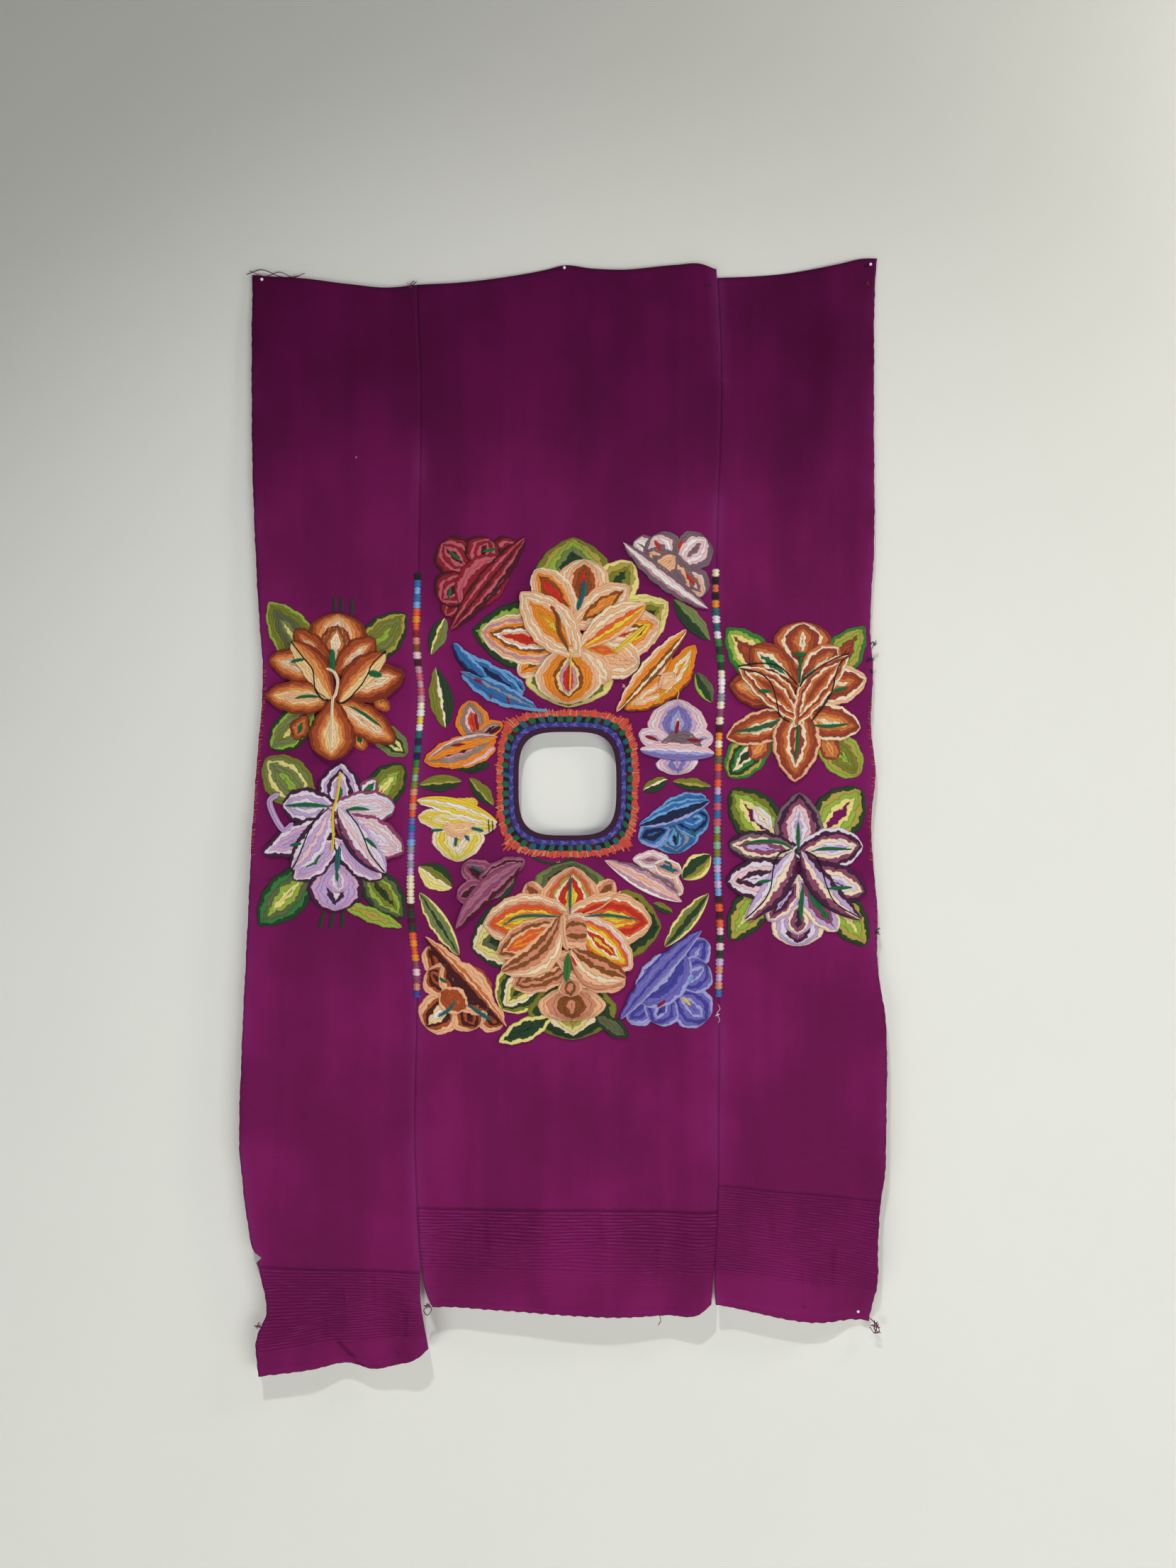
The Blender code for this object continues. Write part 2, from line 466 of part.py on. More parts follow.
def prism(name, outlines, near=-90.0, far=30.0):
    """A cutter: the area of some (x, z) outlines carried straight through the cloth along Y."""
    corners, triangles = region(outlines)
    count = len(corners)
    points = [(x, near, z) for x, z in corners] + [(x, far, z) for x, z in corners]
    faces, sides = [], {}
    for a, b, c in triangles:
        faces += [(a, b, c), (a + count, c + count, b + count)]
        for pair in ((a, b), (b, c), (c, a)):
            sides[pair] = True
    faces += [(b, a, a + count, b + count) for a, b in sides if (b, a) not in sides]
    return new_object(name, points, faces, None)


def boolean(obj, cutter, operation):
    """Adds a Boolean with that cutter, on the exact solver."""
    modifier = obj.modifiers.new(operation.lower(), "BOOLEAN")
    modifier.operation = operation
    modifier.solver = "EXACT"
    modifier.object = cutter


def neck_ring(offset):
    """Outline of the neck that far outside its opening: a square with bowed sides and round
    corners, |x/a|^n + |z/b|^n = 1, at even angles, so that its points crowd at the corners."""
    angle = np.linspace(0, 2 * math.pi, NECK_STEPS, endpoint=False)
    power = 2 / NECK_SQUARENESS
    cos, sin = np.cos(angle), np.sin(angle)
    x = (NECK_HALF_WIDTH + offset) * np.sign(cos) * np.abs(cos)**power
    z = (NECK_HALF_HEIGHT + offset) * np.sign(sin) * np.abs(sin)**power
    return np.stack([NECK_X + x, z - NECK_DROP], axis=-1)


def circle(x, z, radius, steps=8):
    """Outline of a round hole."""
    angle = np.linspace(0, 2 * math.pi, steps, endpoint=False)
    return np.stack([x + radius * np.cos(angle), z + radius * np.sin(angle)], axis=-1)


def petal_outline(base_x, base_z, tip_x, tip_z, width, widest, fullness, bow, steps=4):
    """Outline of a petal or leaf: half its width at share t of its length is
    sin(pi * t^widest)^fullness of the whole half, and bow bends its middle line sideways."""
    t = (1 - np.cos(math.pi * np.linspace(0, 1, steps + 1))) / 2
    half = width / 2 * np.clip(np.sin(math.pi * t**widest), 0, 1)**fullness
    base, tip = np.array([base_x, base_z]), np.array([tip_x, tip_z])
    along = (tip - base) / np.linalg.norm(tip - base)
    across = np.array([-along[1], along[0]])
    middle = base + (tip - base) * t[:, None] + across * (bow * 4 * t * (1 - t))[:, None]
    left = middle + across * half[:, None]
    right = middle - across * half[:, None]
    return np.concatenate([left, right[-2:0:-1]])


def slab_on(node, panel, low, high, lift_from, lift_to):
    """A closed slab of the panel's own facets over the box from low to high (x, z), moved
    out of the cloth by lift_from at its back and lift_to at its front."""
    x, drop, rib, _ = panel_rows(panel)
    front_y = -(standoff(x, drop) + CLOTH + rib)
    rows = [r for r in range(len(drop) - 1)
            if drop[r + 1].max() > -high[1] - 2 and drop[r].min() < -low[1] + 2]
    columns = [c for c in range(x.shape[1] - 1)
               if x[rows, c + 1].max() > low[0] - 2 and x[rows, c].min() < high[0] + 2]
    cut = np.ix_(range(rows[0], rows[-1] + 2), range(columns[0], columns[-1] + 2))
    inside = list(range(len(rows) + 1))
    return wall(node, x[cut], drop[cut], front_y[cut] - lift_to, front_y[cut] - lift_from, inside,
                "petal_thread" if node.startswith("flower") else "leaf_thread")


def as_guide(obj):
    """Marks a solid that only shapes another one."""
    obj.hide_render = True
    obj.display_type = "WIRE"
    return obj


def extent(outlines):
    """Lowest and highest (x, z) of some outlines."""
    points = np.concatenate(outlines)
    return points.min(axis=0), points.max(axis=0)


def embroider(node, panel, outlines, raised):
    """Stitched pad: the cloth's own facets moved out, inside the outlines, with the raised
    outlines standing higher."""
    low, high = extent(outlines + raised)
    pad = slab_on(node, panel, low, high, LIFT, LIFT + PAD_LOW)
    boolean(pad, prism(node + ".outline", outlines + raised), "INTERSECT")
    if raised:
        low, high = extent(raised)
        crest = as_guide(slab_on(node + ".crest", panel, low, high, LIFT + PAD_LOW / 2,
                                 LIFT + PAD_HIGH))
        boolean(crest, prism(node + ".crest.outline", [shrink(line) for line in raised]),
                "INTERSECT")
        boolean(pad, crest, "UNION")
    return pad


def shrink(outline, by=1.0):
    """An outline drawn in towards its middle by about that much."""
    middle = outline.mean(axis=0)
    arm = outline - middle
    length = np.linalg.norm(arm, axis=1, keepdims=True)
    return middle + arm * (1 - by / length)


def placed(rows, x, z, sense_x, sense_z):
    """Petal outlines of a flower, turned over where a sense is -1 and set at its centre."""
    outlines = []
    for row in rows:
        line = petal_outline(*row)
        outlines.append(line * np.array([sense_x, sense_z]) + np.array([x, z]))
    return outlines


def make_panels():
    """The three lengths of cloth, with the neck cut and the pins' holes and the tear."""
    holes = {"left_panel": [], "centre_panel": [neck_ring(CROCHET_WIDTH + SEAM_GAP)],
             "right_panel": []}
    for name, x, drop, _ in PINS:
        panel = {"left": "left_panel", "centre": "centre_panel",
                 "right": "right_panel"}[name.split("_")[-1]]
        holes[panel].append(circle(x, -drop, PIN_HOLE_RADIUS))
    upper, lower, depth = TEAR
    lip = float(curve(LEFT_EDGE, np.array(float(upper))))
    holes["left_panel"].append([(lip - 5, -upper), (lip + depth, -upper - 1),
                                (lip - 5, -lower)])
    panels = {}
    for node in PANELS:
        x, drop, rib, inside = panel_rows(node)
        back_y = -standoff(x, drop)
        panels[node] = wall(node, x, drop, back_y - CLOTH - rib, back_y, inside, "cotton")
        boolean(panels[node], prism(node + ".holes", holes[node]), "DIFFERENCE")
    return panels


def make_crochet():
    """The crocheted edge: a ring that fills the cloth's neck cut up to the opening."""
    steps = [0.0, 0.45, 1.0]
    rings = [neck_ring(CROCHET_WIDTH * share) for share in steps]
    points = []
    for ring, swell in zip(rings + rings[::-1], (0.3, 1, 0.8, -0.8, -1, -0.3)):
        middle = -(standoff(ring[:, 0], -ring[:, 1]) + CLOTH / 2)
        y = middle - swell * CROCHET_THICKNESS / 2
        points.append(np.stack([ring[:, 0], y, ring[:, 1]], axis=-1))
    count, turns = NECK_STEPS, len(points)
    faces = []
    for turn in range(turns):
        for i in range(count):
            j, after = (i + 1) % count, (turn + 1) % turns
            faces.append((turn * count + i, turn * count + j, after * count + j,
                          after * count + i))
    obj = new_object("neck_crochet", np.concatenate(points), faces, "crochet_thread")
    ring = bmesh.new()
    ring.from_mesh(obj.data)
    bmesh.ops.recalc_face_normals(ring, faces=ring.faces)
    bmesh.ops.triangulate(ring, faces=ring.faces)
    ring.to_mesh(obj.data)
    ring.free()
    return obj


def make_neck_bands():
    """The block stitches and the buttonhole stitches, two rings on the cloth round the cut."""
    inner = CROCHET_WIDTH + 2 * SEAM_GAP
    bands = [("neck_blocks", inner, inner + BLOCKS_WIDTH, PAD_HIGH, "block_thread"),
             ("neck_buttonhole", inner + BLOCKS_WIDTH + SEAM_GAP,
              inner + BLOCKS_WIDTH + SEAM_GAP + BUTTONHOLE_WIDTH, PAD_LOW, "coral_thread")]
    for node, start, end, height, material in bands:
        outer = neck_ring(end)
        low, high = extent([outer])
        band = slab_on(node, "centre_panel", low, high, LIFT, LIFT + height)
        band.data.materials.clear()
        band.data.materials.append(finish(material))
        boolean(band, prism(node + ".outer", [outer]), "INTERSECT")
        boolean(band, prism(node + ".inner", [neck_ring(start)]), "DIFFERENCE")


def make_flowers():
    """The embroidered flowers, one stitched pad each."""
    for node, panel, x, z, sense_x, sense_z, heart, petals, front in FLOWERS:
        low = placed(petals, x, z, sense_x, sense_z)
        if heart:
            low.append(circle(x, z, heart))
        embroider(node, panel, low, placed(front, x, z, sense_x, sense_z))


def make_leaves():
    """The single leaves."""
    for node, base_x, base_z, tip_x, tip_z, width in LEAVES:
        line = petal_outline(base_x, base_z, tip_x, tip_z, width, 1.0, 0.7, 0)
        embroider(node, "centre_panel", [line], [])


def surfaces(panels):
    """A search tree of each panel's faces."""
    trees = []
    for panel in panels.values():
        shell = bmesh.new()
        shell.from_mesh(panel.data)
        trees.append(BVHTree.FromBMesh(shell))
        shell.free()
    return trees


def front_of(trees, places):
    """Y of the foremost cloth met by rays from the front at some (x, z) places."""
    found = []
    for x, z in places:
        for tree in trees:
            hit = tree.ray_cast(Vector((x * MM, -1, z * MM)), Vector((0, 1, 0)))[0]
            if hit is not None:
                found.append(hit.y / MM)
    return min(found)


def make_randas(trees):
    """The two randas: a chain of knots laid along each seam, one body each."""
    for node, (seam, first, last, beads, width) in RANDAS.items():
        sections = 2 * beads + 1
        drop = np.linspace(first, last, sections)
        middle = curve(seam, drop)
        points = []
        for number in range(sections):
            waist = number % 2 == 0
            half = width / 2 * (BEAD_WAIST if waist else 1.0)
            height = BEAD_HEIGHT * (0.55 if waist else 1.0)
            places = [(middle[number] + share * half, -drop[number])
                      for share in (-1, -0.5, -0.15, 0.15, 0.5, 1)]
            base = front_of(trees, places) - LIFT
            for across, rise in ((-1, 0), (-0.55, 1), (0.55, 1), (1, 0)):
                points.append((middle[number] + across * half, base - height * rise,
                               -drop[number]))
        faces = []
        for number in range(sections - 1):
            for i in range(4):
                j = (i + 1) % 4
                faces.append((4 * number + i, 4 * number + j, 4 * number + 4 + j,
                              4 * number + 4 + i))
        faces.append((3, 2, 1, 0))
        faces.append(tuple(range(4 * (sections - 1), 4 * sections)))
        obj = new_object(node, points, faces, "randa_thread")
        chain = bmesh.new()
        chain.from_mesh(obj.data)
        bmesh.ops.recalc_face_normals(chain, faces=chain.faces)
        bmesh.ops.triangulate(chain, faces=chain.faces)
        chain.to_mesh(obj.data)
        chain.free()


def make_pins(trees):
    """Ball-headed pins: a turned profile from the point in the wall to the head in front."""
    for node, x, drop, _ in PINS:
        around = [(x + step_x * PIN_HEAD_RADIUS, -drop + step_z * PIN_HEAD_RADIUS)
                  for step_x in (-1, 0, 1) for step_z in (-1, 0, 1)]
        head = front_of(trees, around) - LIFT - PIN_HEAD_RADIUS
        profile = [(0, PIN_IN_WALL), (PIN_SHANK_RADIUS, PIN_IN_WALL - 3)]
        steps = 6
        neck_angle = math.asin(PIN_SHANK_RADIUS / PIN_HEAD_RADIUS)
        for step in range(steps + 1):
            angle = neck_angle + (math.pi - neck_angle) * step / steps
            profile.append((PIN_HEAD_RADIUS * math.sin(angle),
                            head + PIN_HEAD_RADIUS * math.cos(angle)))
        shell = bmesh.new()
        line = [shell.verts.new((radius * MM, y * MM, 0)) for radius, y in profile]
        edges = [shell.edges.new(pair) for pair in zip(line, line[1:])]
        bmesh.ops.spin(shell, geom=line + edges, cent=(0, 0, 0), axis=(0, 1, 0),
                       angle=2 * math.pi, steps=8, use_merge=True)
        bmesh.ops.remove_doubles(shell, verts=shell.verts, dist=0.00002)
        bmesh.ops.recalc_face_normals(shell, faces=shell.faces)
        mesh = bpy.data.meshes.new(node)
        shell.to_mesh(mesh)
        shell.free()
        mesh.materials.append(finish("pin_enamel"))
        mesh.shade_smooth()
        pin = bpy.data.objects.new(node, mesh)
        pin.location = (x * MM, 0, -drop * MM)
        bpy.context.scene.collection.objects.link(pin)


def main():
    """Clears the scene and makes every piece."""
    for obj in list(bpy.data.objects):
        bpy.data.objects.remove(obj)
    panels = make_panels()
    make_crochet()
    make_neck_bands()
    make_flowers()
    make_leaves()
    trees = surfaces(panels)
    make_randas(trees)
    make_pins(trees)


main()
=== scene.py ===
"""Huipil blouse opened out on a wall: cloth, needlework, seam joins, neck edge, pins and threads.

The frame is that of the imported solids: metres, +Z up, the wall at y = 0, the cloth in front of
it at -Y, the origin where the top centre pin enters the wall. The tables are in millimetres.
"drop" is the depth below the origin, and "out" is a height above the face of the cloth.
"""
from __future__ import annotations

import logging
import math
from dataclasses import dataclass, field
from enum import Enum
from functools import cache
from typing import Sequence

import bpy
import numpy as np
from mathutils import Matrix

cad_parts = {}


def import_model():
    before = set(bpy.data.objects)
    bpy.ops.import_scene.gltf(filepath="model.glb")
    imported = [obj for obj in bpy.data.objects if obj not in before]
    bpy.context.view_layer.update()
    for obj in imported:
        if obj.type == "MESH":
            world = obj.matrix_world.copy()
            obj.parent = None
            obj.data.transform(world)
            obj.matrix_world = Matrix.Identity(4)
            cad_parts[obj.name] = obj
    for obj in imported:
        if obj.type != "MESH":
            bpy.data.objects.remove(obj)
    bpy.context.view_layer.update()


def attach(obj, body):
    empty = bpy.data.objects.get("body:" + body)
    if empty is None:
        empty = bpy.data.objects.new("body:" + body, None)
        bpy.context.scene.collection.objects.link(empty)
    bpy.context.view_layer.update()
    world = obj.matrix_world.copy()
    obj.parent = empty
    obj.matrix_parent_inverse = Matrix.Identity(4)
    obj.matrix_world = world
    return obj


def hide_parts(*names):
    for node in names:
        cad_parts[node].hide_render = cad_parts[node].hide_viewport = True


LOG = logging.getLogger("huipil")
MM = 0.001  # metres in a millimetre
Array = np.ndarray
Rows = Sequence[Sequence[float]]
Object = bpy.types.Object
Socket = bpy.types.NodeSocket
Sockets = bpy.types.bpy_prop_collection


# ---- The cloth as it hangs ----

# How far the cloth hangs off the wall away from its folds: drop, distance
BASE_STANDOFF = [(-20, 7), (150, 9), (500, 14), (820, 19), (1200, 22), (1500, 27), (1780, 34)]

# Large folds: x0, drop0, x1, drop1, width, height
FOLDS = [
    (212, 1240, 212, 1650, 38, 9), (-215, 1150, -198, 1460, 36, 7),
    (-180, 1462, 150, 1474, 30, 5), (440, 110, 400, 360, 36, 8), (331, 25, 325, 380, 60, -5),
    (263, 1206, 335, 1440, 34, 6), (505, 1180, 508, 1420, 34, 9), (490, 1530, 486, 1640, 30, 8),
    (-395, 590, -400, 1560, 50, 6), (-488, 900, -512, 1400, 34, 6),
    (-380, 1700, -340, 1760, 34, -10), (-240, 1640, -228, 1730, 34, 12),
    (-60, 1560, 40, 1660, 90, 8), (-120, 120, -150, 400, 70, 5), (120, 90, 150, 380, 60, 4),
]

# Small creases on top of them: x0, drop0, x1, drop1, width, height
CREASES = [
    (-330, 60, -342, 520, 7, 0.9), (-420, 120, -414, 470, 6, -0.8),
    (-288, 1120, -300, 1540, 8, 1.1), (-440, 1130, -452, 1500, 9, 1.2),
    (-350, 1160, -344, 1480, 6, -0.8), (-90, 40, -98, 360, 7, 0.8), (30, 60, 22, 330, 9, -0.9),
    (176, 60, 182, 380, 7, 0.8), (-150, 1250, -140, 1490, 8, 0.9),
    (-20, 1260, -34, 1480, 10, 1.0), (96, 1270, 110, 1480, 8, 0.9), (300, 60, 290, 420, 7, 0.8),
    (470, 90, 462, 520, 8, 1.0), (300, 1120, 312, 1450, 8, 1.0), (420, 1110, 436, 1450, 9, 1.1),
    (380, 1140, 372, 1430, 6, -0.8), (-470, 1600, -300, 1612, 9, 1.4),
    (250, 1480, 480, 1500, 9, 0.8), (-236, 560, -262, 600, 10, 1.2),
    (-236, 820, -258, 842, 9, 1.2), (-236, 1010, -262, 1030, 9, 1.1),
    (244, 600, 266, 622, 9, 1.1), (244, 830, 262, 840, 9, 1.1), (244, 1050, 268, 1076, 10, 1.2),
]

# node, x, drop, standoff of the cloth where the pin holds it
PINS = [
    ("pin_top_left", -480.5, 18.0, 4.0), ("pin_top_centre", 0.0, 0.0, 4.0),
    ("pin_top_right", 486.0, -5.5, 4.0), ("pin_bottom_right", 471.5, 1667.0, 6.0),
]

# Upright edges and seams: drop, x
LEFT_EDGE = [
    (10, -496), (317, -495), (546, -485), (632, -479), (819, -490.5), (1055, -502), (1235, -511),
    (1429, -513.5), (1506, -505), (1557, -496), (1605, -481.5), (1667, -475), (1690, -486),
    (1760, -486),
]
LEFT_SEAM = [
    (-30, -235), (28, -235), (172, -229.5), (470, -232), (610, -234), (678, -227), (756, -232),
    (844, -239.5), (1046, -242), (1126, -234), (1213, -235), (1368, -238), (1471, -235),
    (1558, -229.5), (1635, -227), (1711, -214.5),
]
RIGHT_SEAM = [
    (-20, 240.5), (118, 247.5), (205, 248.5), (420, 242), (556, 241), (654, 250), (736, 246),
    (866, 243), (953, 243), (1059, 247.5), (1154, 245), (1351, 244.5), (1459, 244),
    (1570, 238.5), (1643, 233),
]
RIGHT_EDGE = [
    (-16, 497), (25, 494), (197, 491.5), (445, 491.5), (580, 486), (642, 490), (721, 486.5),
    (812, 494), (870, 487.5), (942, 490), (1014, 497), (1108, 498), (1192, 508.5), (1349, 509.5),
    (1459, 506), (1518, 498), (1655, 493), (1681, 488),
]

# Both seams are unpicked at the foot: drop where that starts, drop at the hem, gap at the hem
LEFT_PARTING = (1560, 1648, 17)
RIGHT_PARTING = (1575, 1645, 7)

# Upper and lower edges: x, drop
LEFT_TOP = [(-496, 10), (-412, 17), (-343, 26), (-282, 31.5), (-235, 27)]
CENTRE_TOP = [
    (-235, 27), (-171, 24), (-84, 13.5), (-28, 2), (-2, -4.5), (45, 1), (88, 3.5), (177, -4.5),
    (219, -5.6), (239, 2),
]
RIGHT_TOP = [(243, 16), (306, 12), (370, 5.6), (435, -5.6), (474, -15.3), (497, -15.8)]
LEFT_HEM = [(-486, 1760), (-395, 1749), (-339, 1742.6), (-305, 1749), (-266, 1740),
            (-232, 1726), (-214, 1711)]
CENTRE_HEM = [(-210, 1648), (-108, 1654), (-18, 1659), (160, 1662), (218, 1655), (233, 1642.5)]
RIGHT_HEM = [(239, 1644), (294, 1657), (360, 1671), (471, 1680), (488, 1681)]

# A small tear in the left edge: drop of its middle, half its height, and how deep it runs
TEAR = (1570, 5, 13)

# Sharp creases, drawn only as painted shade on one side and a painted highlight on the other:
# x and drop of each end, half width, and how dark
PAINTED_CREASES = [
    (-356, 1708, -314, 1750, 7, 0.50), (-349, 1630, -347, 1660, 4, 0.35),
    (-377, 1668, -378, 1692, 4, 0.35), (-246, 1655, -249, 1690, 4, 0.40),
    (-222, 1560, -226, 1610, 4, 0.45), (-300, 1600, -298, 1640, 5, 0.25),
    (-120, 1520, -118, 1556, 5, 0.25), (60, 1515, 64, 1548, 5, 0.25),
    (150, 1560, 149, 1600, 4, 0.3), (330, 1500, 333, 1540, 5, 0.25),
    (430, 1560, 428, 1610, 5, 0.3), (380, 1600, 383, 1650, 5, 0.25),
    (-212, 60, -209, 420, 5, 0.16), (238, 60, 236, 400, 5, 0.16),
    (-235, 1230, -226, 1420, 6, 0.2),
]

# The neck's opening, |x/a|^n + |z/b|^n = 1: its centre, a and b, and n
NECK_CENTRE = (5.0, -819.0)
NECK_HALF = (77.5, 82.0)
NECK_SQUARENESS = 3.6

CROCHET_WIDTH = 15.0
BLOCKS_WIDTH = 13.0
CLOTH = 1.5  # thickness
SEAM_GAP = 0.3  # between one piece and the next
FOOT = -0.4  # out of the rim of each piece of needlework, just inside the cloth
RIM = 0.01  # sine of a bead's angle, below which a point is on its rim


def curve(rows: Rows, at: Array) -> Array:
    """Smooth curve through rows: cubic pieces whose slope at a row is that of its neighbours.

    Args:
        rows: (place, value) pairs in order of place.
        at: places to read, held to the ends of the rows.

    Returns:
        The value at each place.
    """
    table = np.array(rows, dtype=float)
    place, value = table[:, 0], table[:, 1]
    slope = np.gradient(value, place)
    at = np.clip(at, place[0], place[-1])
    i = np.clip(np.searchsorted(place, at, side="right") - 1, 0, len(place) - 2)
    step = place[i + 1] - place[i]
    t = (at - place[i]) / step
    return (value[i] * (2 * t**3 - 3 * t**2 + 1) + step * slope[i] * (t**3 - 2 * t**2 + t)
            + value[i + 1] * (3 * t**2 - 2 * t**3) + step * slope[i + 1] * (t**3 - t**2))


def ridges(x: Array, drop: Array, rows: Rows) -> Array:
    """Sum of soft ridges: height * exp(-(distance to the ridge's line / width)^2) for each row.

    Args:
        x: places across.
        drop: places down.
        rows: x0, drop0, x1, drop1, width, height of each ridge.

    Returns:
        The height of all ridges together at each place.
    """
    out = np.zeros(np.broadcast(x, drop).shape)
    for x0, drop0, x1, drop1, width, height in rows:
        run, fall = x1 - x0, drop1 - drop0
        t = np.clip(((x - x0) * run + (drop - drop0) * fall) / (run**2 + fall**2), 0, 1)
        reach = np.hypot(x - x0 - t * run, drop - drop0 - t * fall)
        out = out + height * np.exp(-(reach / width)**2)
    return out


@dataclass(frozen=True)
class Hang:
    """How the cloth hangs off the wall."""

    pin_reach: float = 48.0
    sway: float = 0.35

    def back(self, x: Array, drop: Array) -> Array:
        """Distance of the cloth's back from the wall: base and folds, drawn in round the pins.

        Args:
            x: places across.
            drop: places down.

        Returns:
            The standoff in millimetres.
        """
        out = curve(BASE_STANDOFF, drop) + ridges(x, drop, FOLDS)
        for _, pin_x, pin_drop, held_at in PINS:
            hold = np.exp(-((x - pin_x)**2 + (drop - pin_drop)**2) / self.pin_reach**2)
            out = out * (1 - hold) + held_at * hold
        return out

    def fine(self, x: Array, drop: Array) -> Array:
        """Small creases and a slow sway of three crossed sines, less where pins hold.

        Args:
            x: places across.
            drop: places down.

        Returns:
            What they add to the standoff.
        """
        sway = (np.sin(x / 31 + drop / 90) + np.sin(x / 17 - drop / 140 + 1.3)
                + np.sin(x / 60 + drop / 37 + 0.4))
        return ridges(x, drop, CREASES) + self.sway * sway

    def face(self, x: Array, z: Array) -> Array:
        """Distance of the cloth's face from the wall at (x, z)."""
        return self.back(x, -z) + self.fine(x, -z) + CLOTH


HANG = Hang()


# ---- Meshes ----


@dataclass
class Patch:
    """Points, triangles, one colour a triangle and a thread map, gathered before a mesh is made.

    points are (x, z, out) in millimetres, and the thread map is (length along, bands across).
    """

    points: Array
    triangles: Array
    colours: Array
    thread_map: Array

    @staticmethod
    def joined(patches: Sequence[Patch]) -> Patch:
        """All patches as one.

        Args:
            patches: what to join.

        Returns:
            One patch, its triangles numbered anew.
        """
        starts = np.cumsum([0] + [len(p.points) for p in patches[:-1]])
        return Patch(
            np.concatenate([p.points for p in patches]),
            np.concatenate([p.triangles + start for p, start in zip(patches, starts)]),
            np.concatenate([p.colours for p in patches]),
            np.concatenate([p.thread_map for p in patches]),
        )


def handed(obj: Object, node: str) -> Object:
    """Sets a piece in its node's place and reports it.

    Args:
        obj: the piece.
        node: the node it stands for.

    Returns:
        The piece.
    """
    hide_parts(node)
    LOG.info("%s: %d triangles", obj.name, len(obj.data.polygons))
    return obj


def grid_triangles(rows: int, columns: int, around: bool = False) -> Array:
    """Two triangles to each cell of a grid numbered row by row.

    Args:
        rows: points down.
        columns: points across.
        around: whether the last column meets the first.

    Returns:
        The triangles, their faces towards the side from which the columns run left to right.
    """
    r = np.arange(rows - 1)[:, None]
    c = np.arange(columns if around else columns - 1)[None, :]
    a, b = r * columns + c, r * columns + (c + 1) % columns
    below_a, below_b = a + columns, b + columns
    cells = np.stack([a, below_a, b, b, below_a, below_b], axis=-1)
    return cells.reshape(-1, 3)


def facing(flat: Array, triangles: Array) -> Array:
    """Turns a patch's triangles to run anticlockwise as seen from the front.

    Args:
        flat: (x, z) of each point.
        triangles: the patch's triangles, which all run the same way round.

    Returns:
        The triangles, turned round if most of their area ran clockwise.
    """
    a, b, c = (flat[triangles[:, i]] for i in range(3))
    turn = (b[:, 0] - a[:, 0]) * (c[:, 1] - a[:, 1]) - (b[:, 1] - a[:, 1]) * (c[:, 0] - a[:, 0])
    return triangles[:, ::-1] if turn.sum() < 0 else triangles


def length_along(line: Array) -> Array:
    """How far along a line each of its points lies."""
    return np.concatenate([[0], np.cumsum(np.hypot(*np.diff(line, axis=0).T))])


def mesh_object(name: str, points: Array, triangles: Array, finish: Finish,
                colours: Array | None = None, thread_map: Array | None = None) -> Object:
    """A mesh object at the origin, its doubles merged and its slivers left out.

    Args:
        name: the object's name.
        points: (x, y, z) in millimetres.
        triangles: three point numbers each.
        finish: its finish.
        colours: linear colour of each triangle.
        thread_map: the map's pair at each point.

    Returns:
        The object, riding on the part.
    """
    _, first, merged = np.unique(np.round(points, 3), axis=0, return_index=True,
                                 return_inverse=True)
    merged = merged.reshape(-1)
    corners = merged[triangles]
    whole = ((corners[:, 0] != corners[:, 1]) & (corners[:, 1] != corners[:, 2])
             & (corners[:, 2] != corners[:, 0]))
    corners, source = corners[whole], triangles[whole]
    count = len(corners)
    mesh = bpy.data.meshes.new(name)
    mesh.vertices.add(len(first))
    mesh.vertices.foreach_set("co", (points[first] * MM).astype(np.float32).ravel())
    mesh.loops.add(3 * count)
    mesh.loops.foreach_set("vertex_index", corners.astype(np.int32).ravel())
    mesh.polygons.add(count)
    mesh.polygons.foreach_set("loop_start", np.arange(0, 3 * count, 3, dtype=np.int32))
    if thread_map is not None:
        layer = mesh.uv_layers.new(name="thread_map")
        layer.data.foreach_set("uv", thread_map[source].astype(np.float32).ravel())
    if colours is not None:
        layer = mesh.color_attributes.new("thread", "FLOAT_COLOR", "CORNER")
        shade = np.repeat(colours[whole], 3, axis=0).astype(np.float32)
        layer.data.foreach_set("color", shade.ravel())
    mesh.update(calc_edges=True)
    mesh.validate()
    mesh.shade_smooth()
    mesh.materials.append(finish.make())
    obj = bpy.data.objects.new(name, mesh)
    bpy.context.scene.collection.objects.link(obj)
    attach(obj, "root")
    return obj


def stitched(name: str, patch: Patch, finish: Finish) -> Object:
    """Sets a patch on the cloth: y = -(face + out).

    Args:
        name: the object's name.
        patch: what is stitched.
        finish: its finish.

    Returns:
        The object.
    """
    x, z, out = patch.points.T
    y = -(HANG.face(x, z) + out)
    return mesh_object(name, np.stack([x, y, z], axis=-1), patch.triangles, finish,
                       patch.colours, patch.thread_map)


# ---- Thread colours and finishes ----


LEAF = "leaf_thread"  # the slot of every leaf
BARE = "."  # a band that is left unworked
SMALLEST_FACE = 0.002  # twice the area, in square millimetres, of a face that is worth having


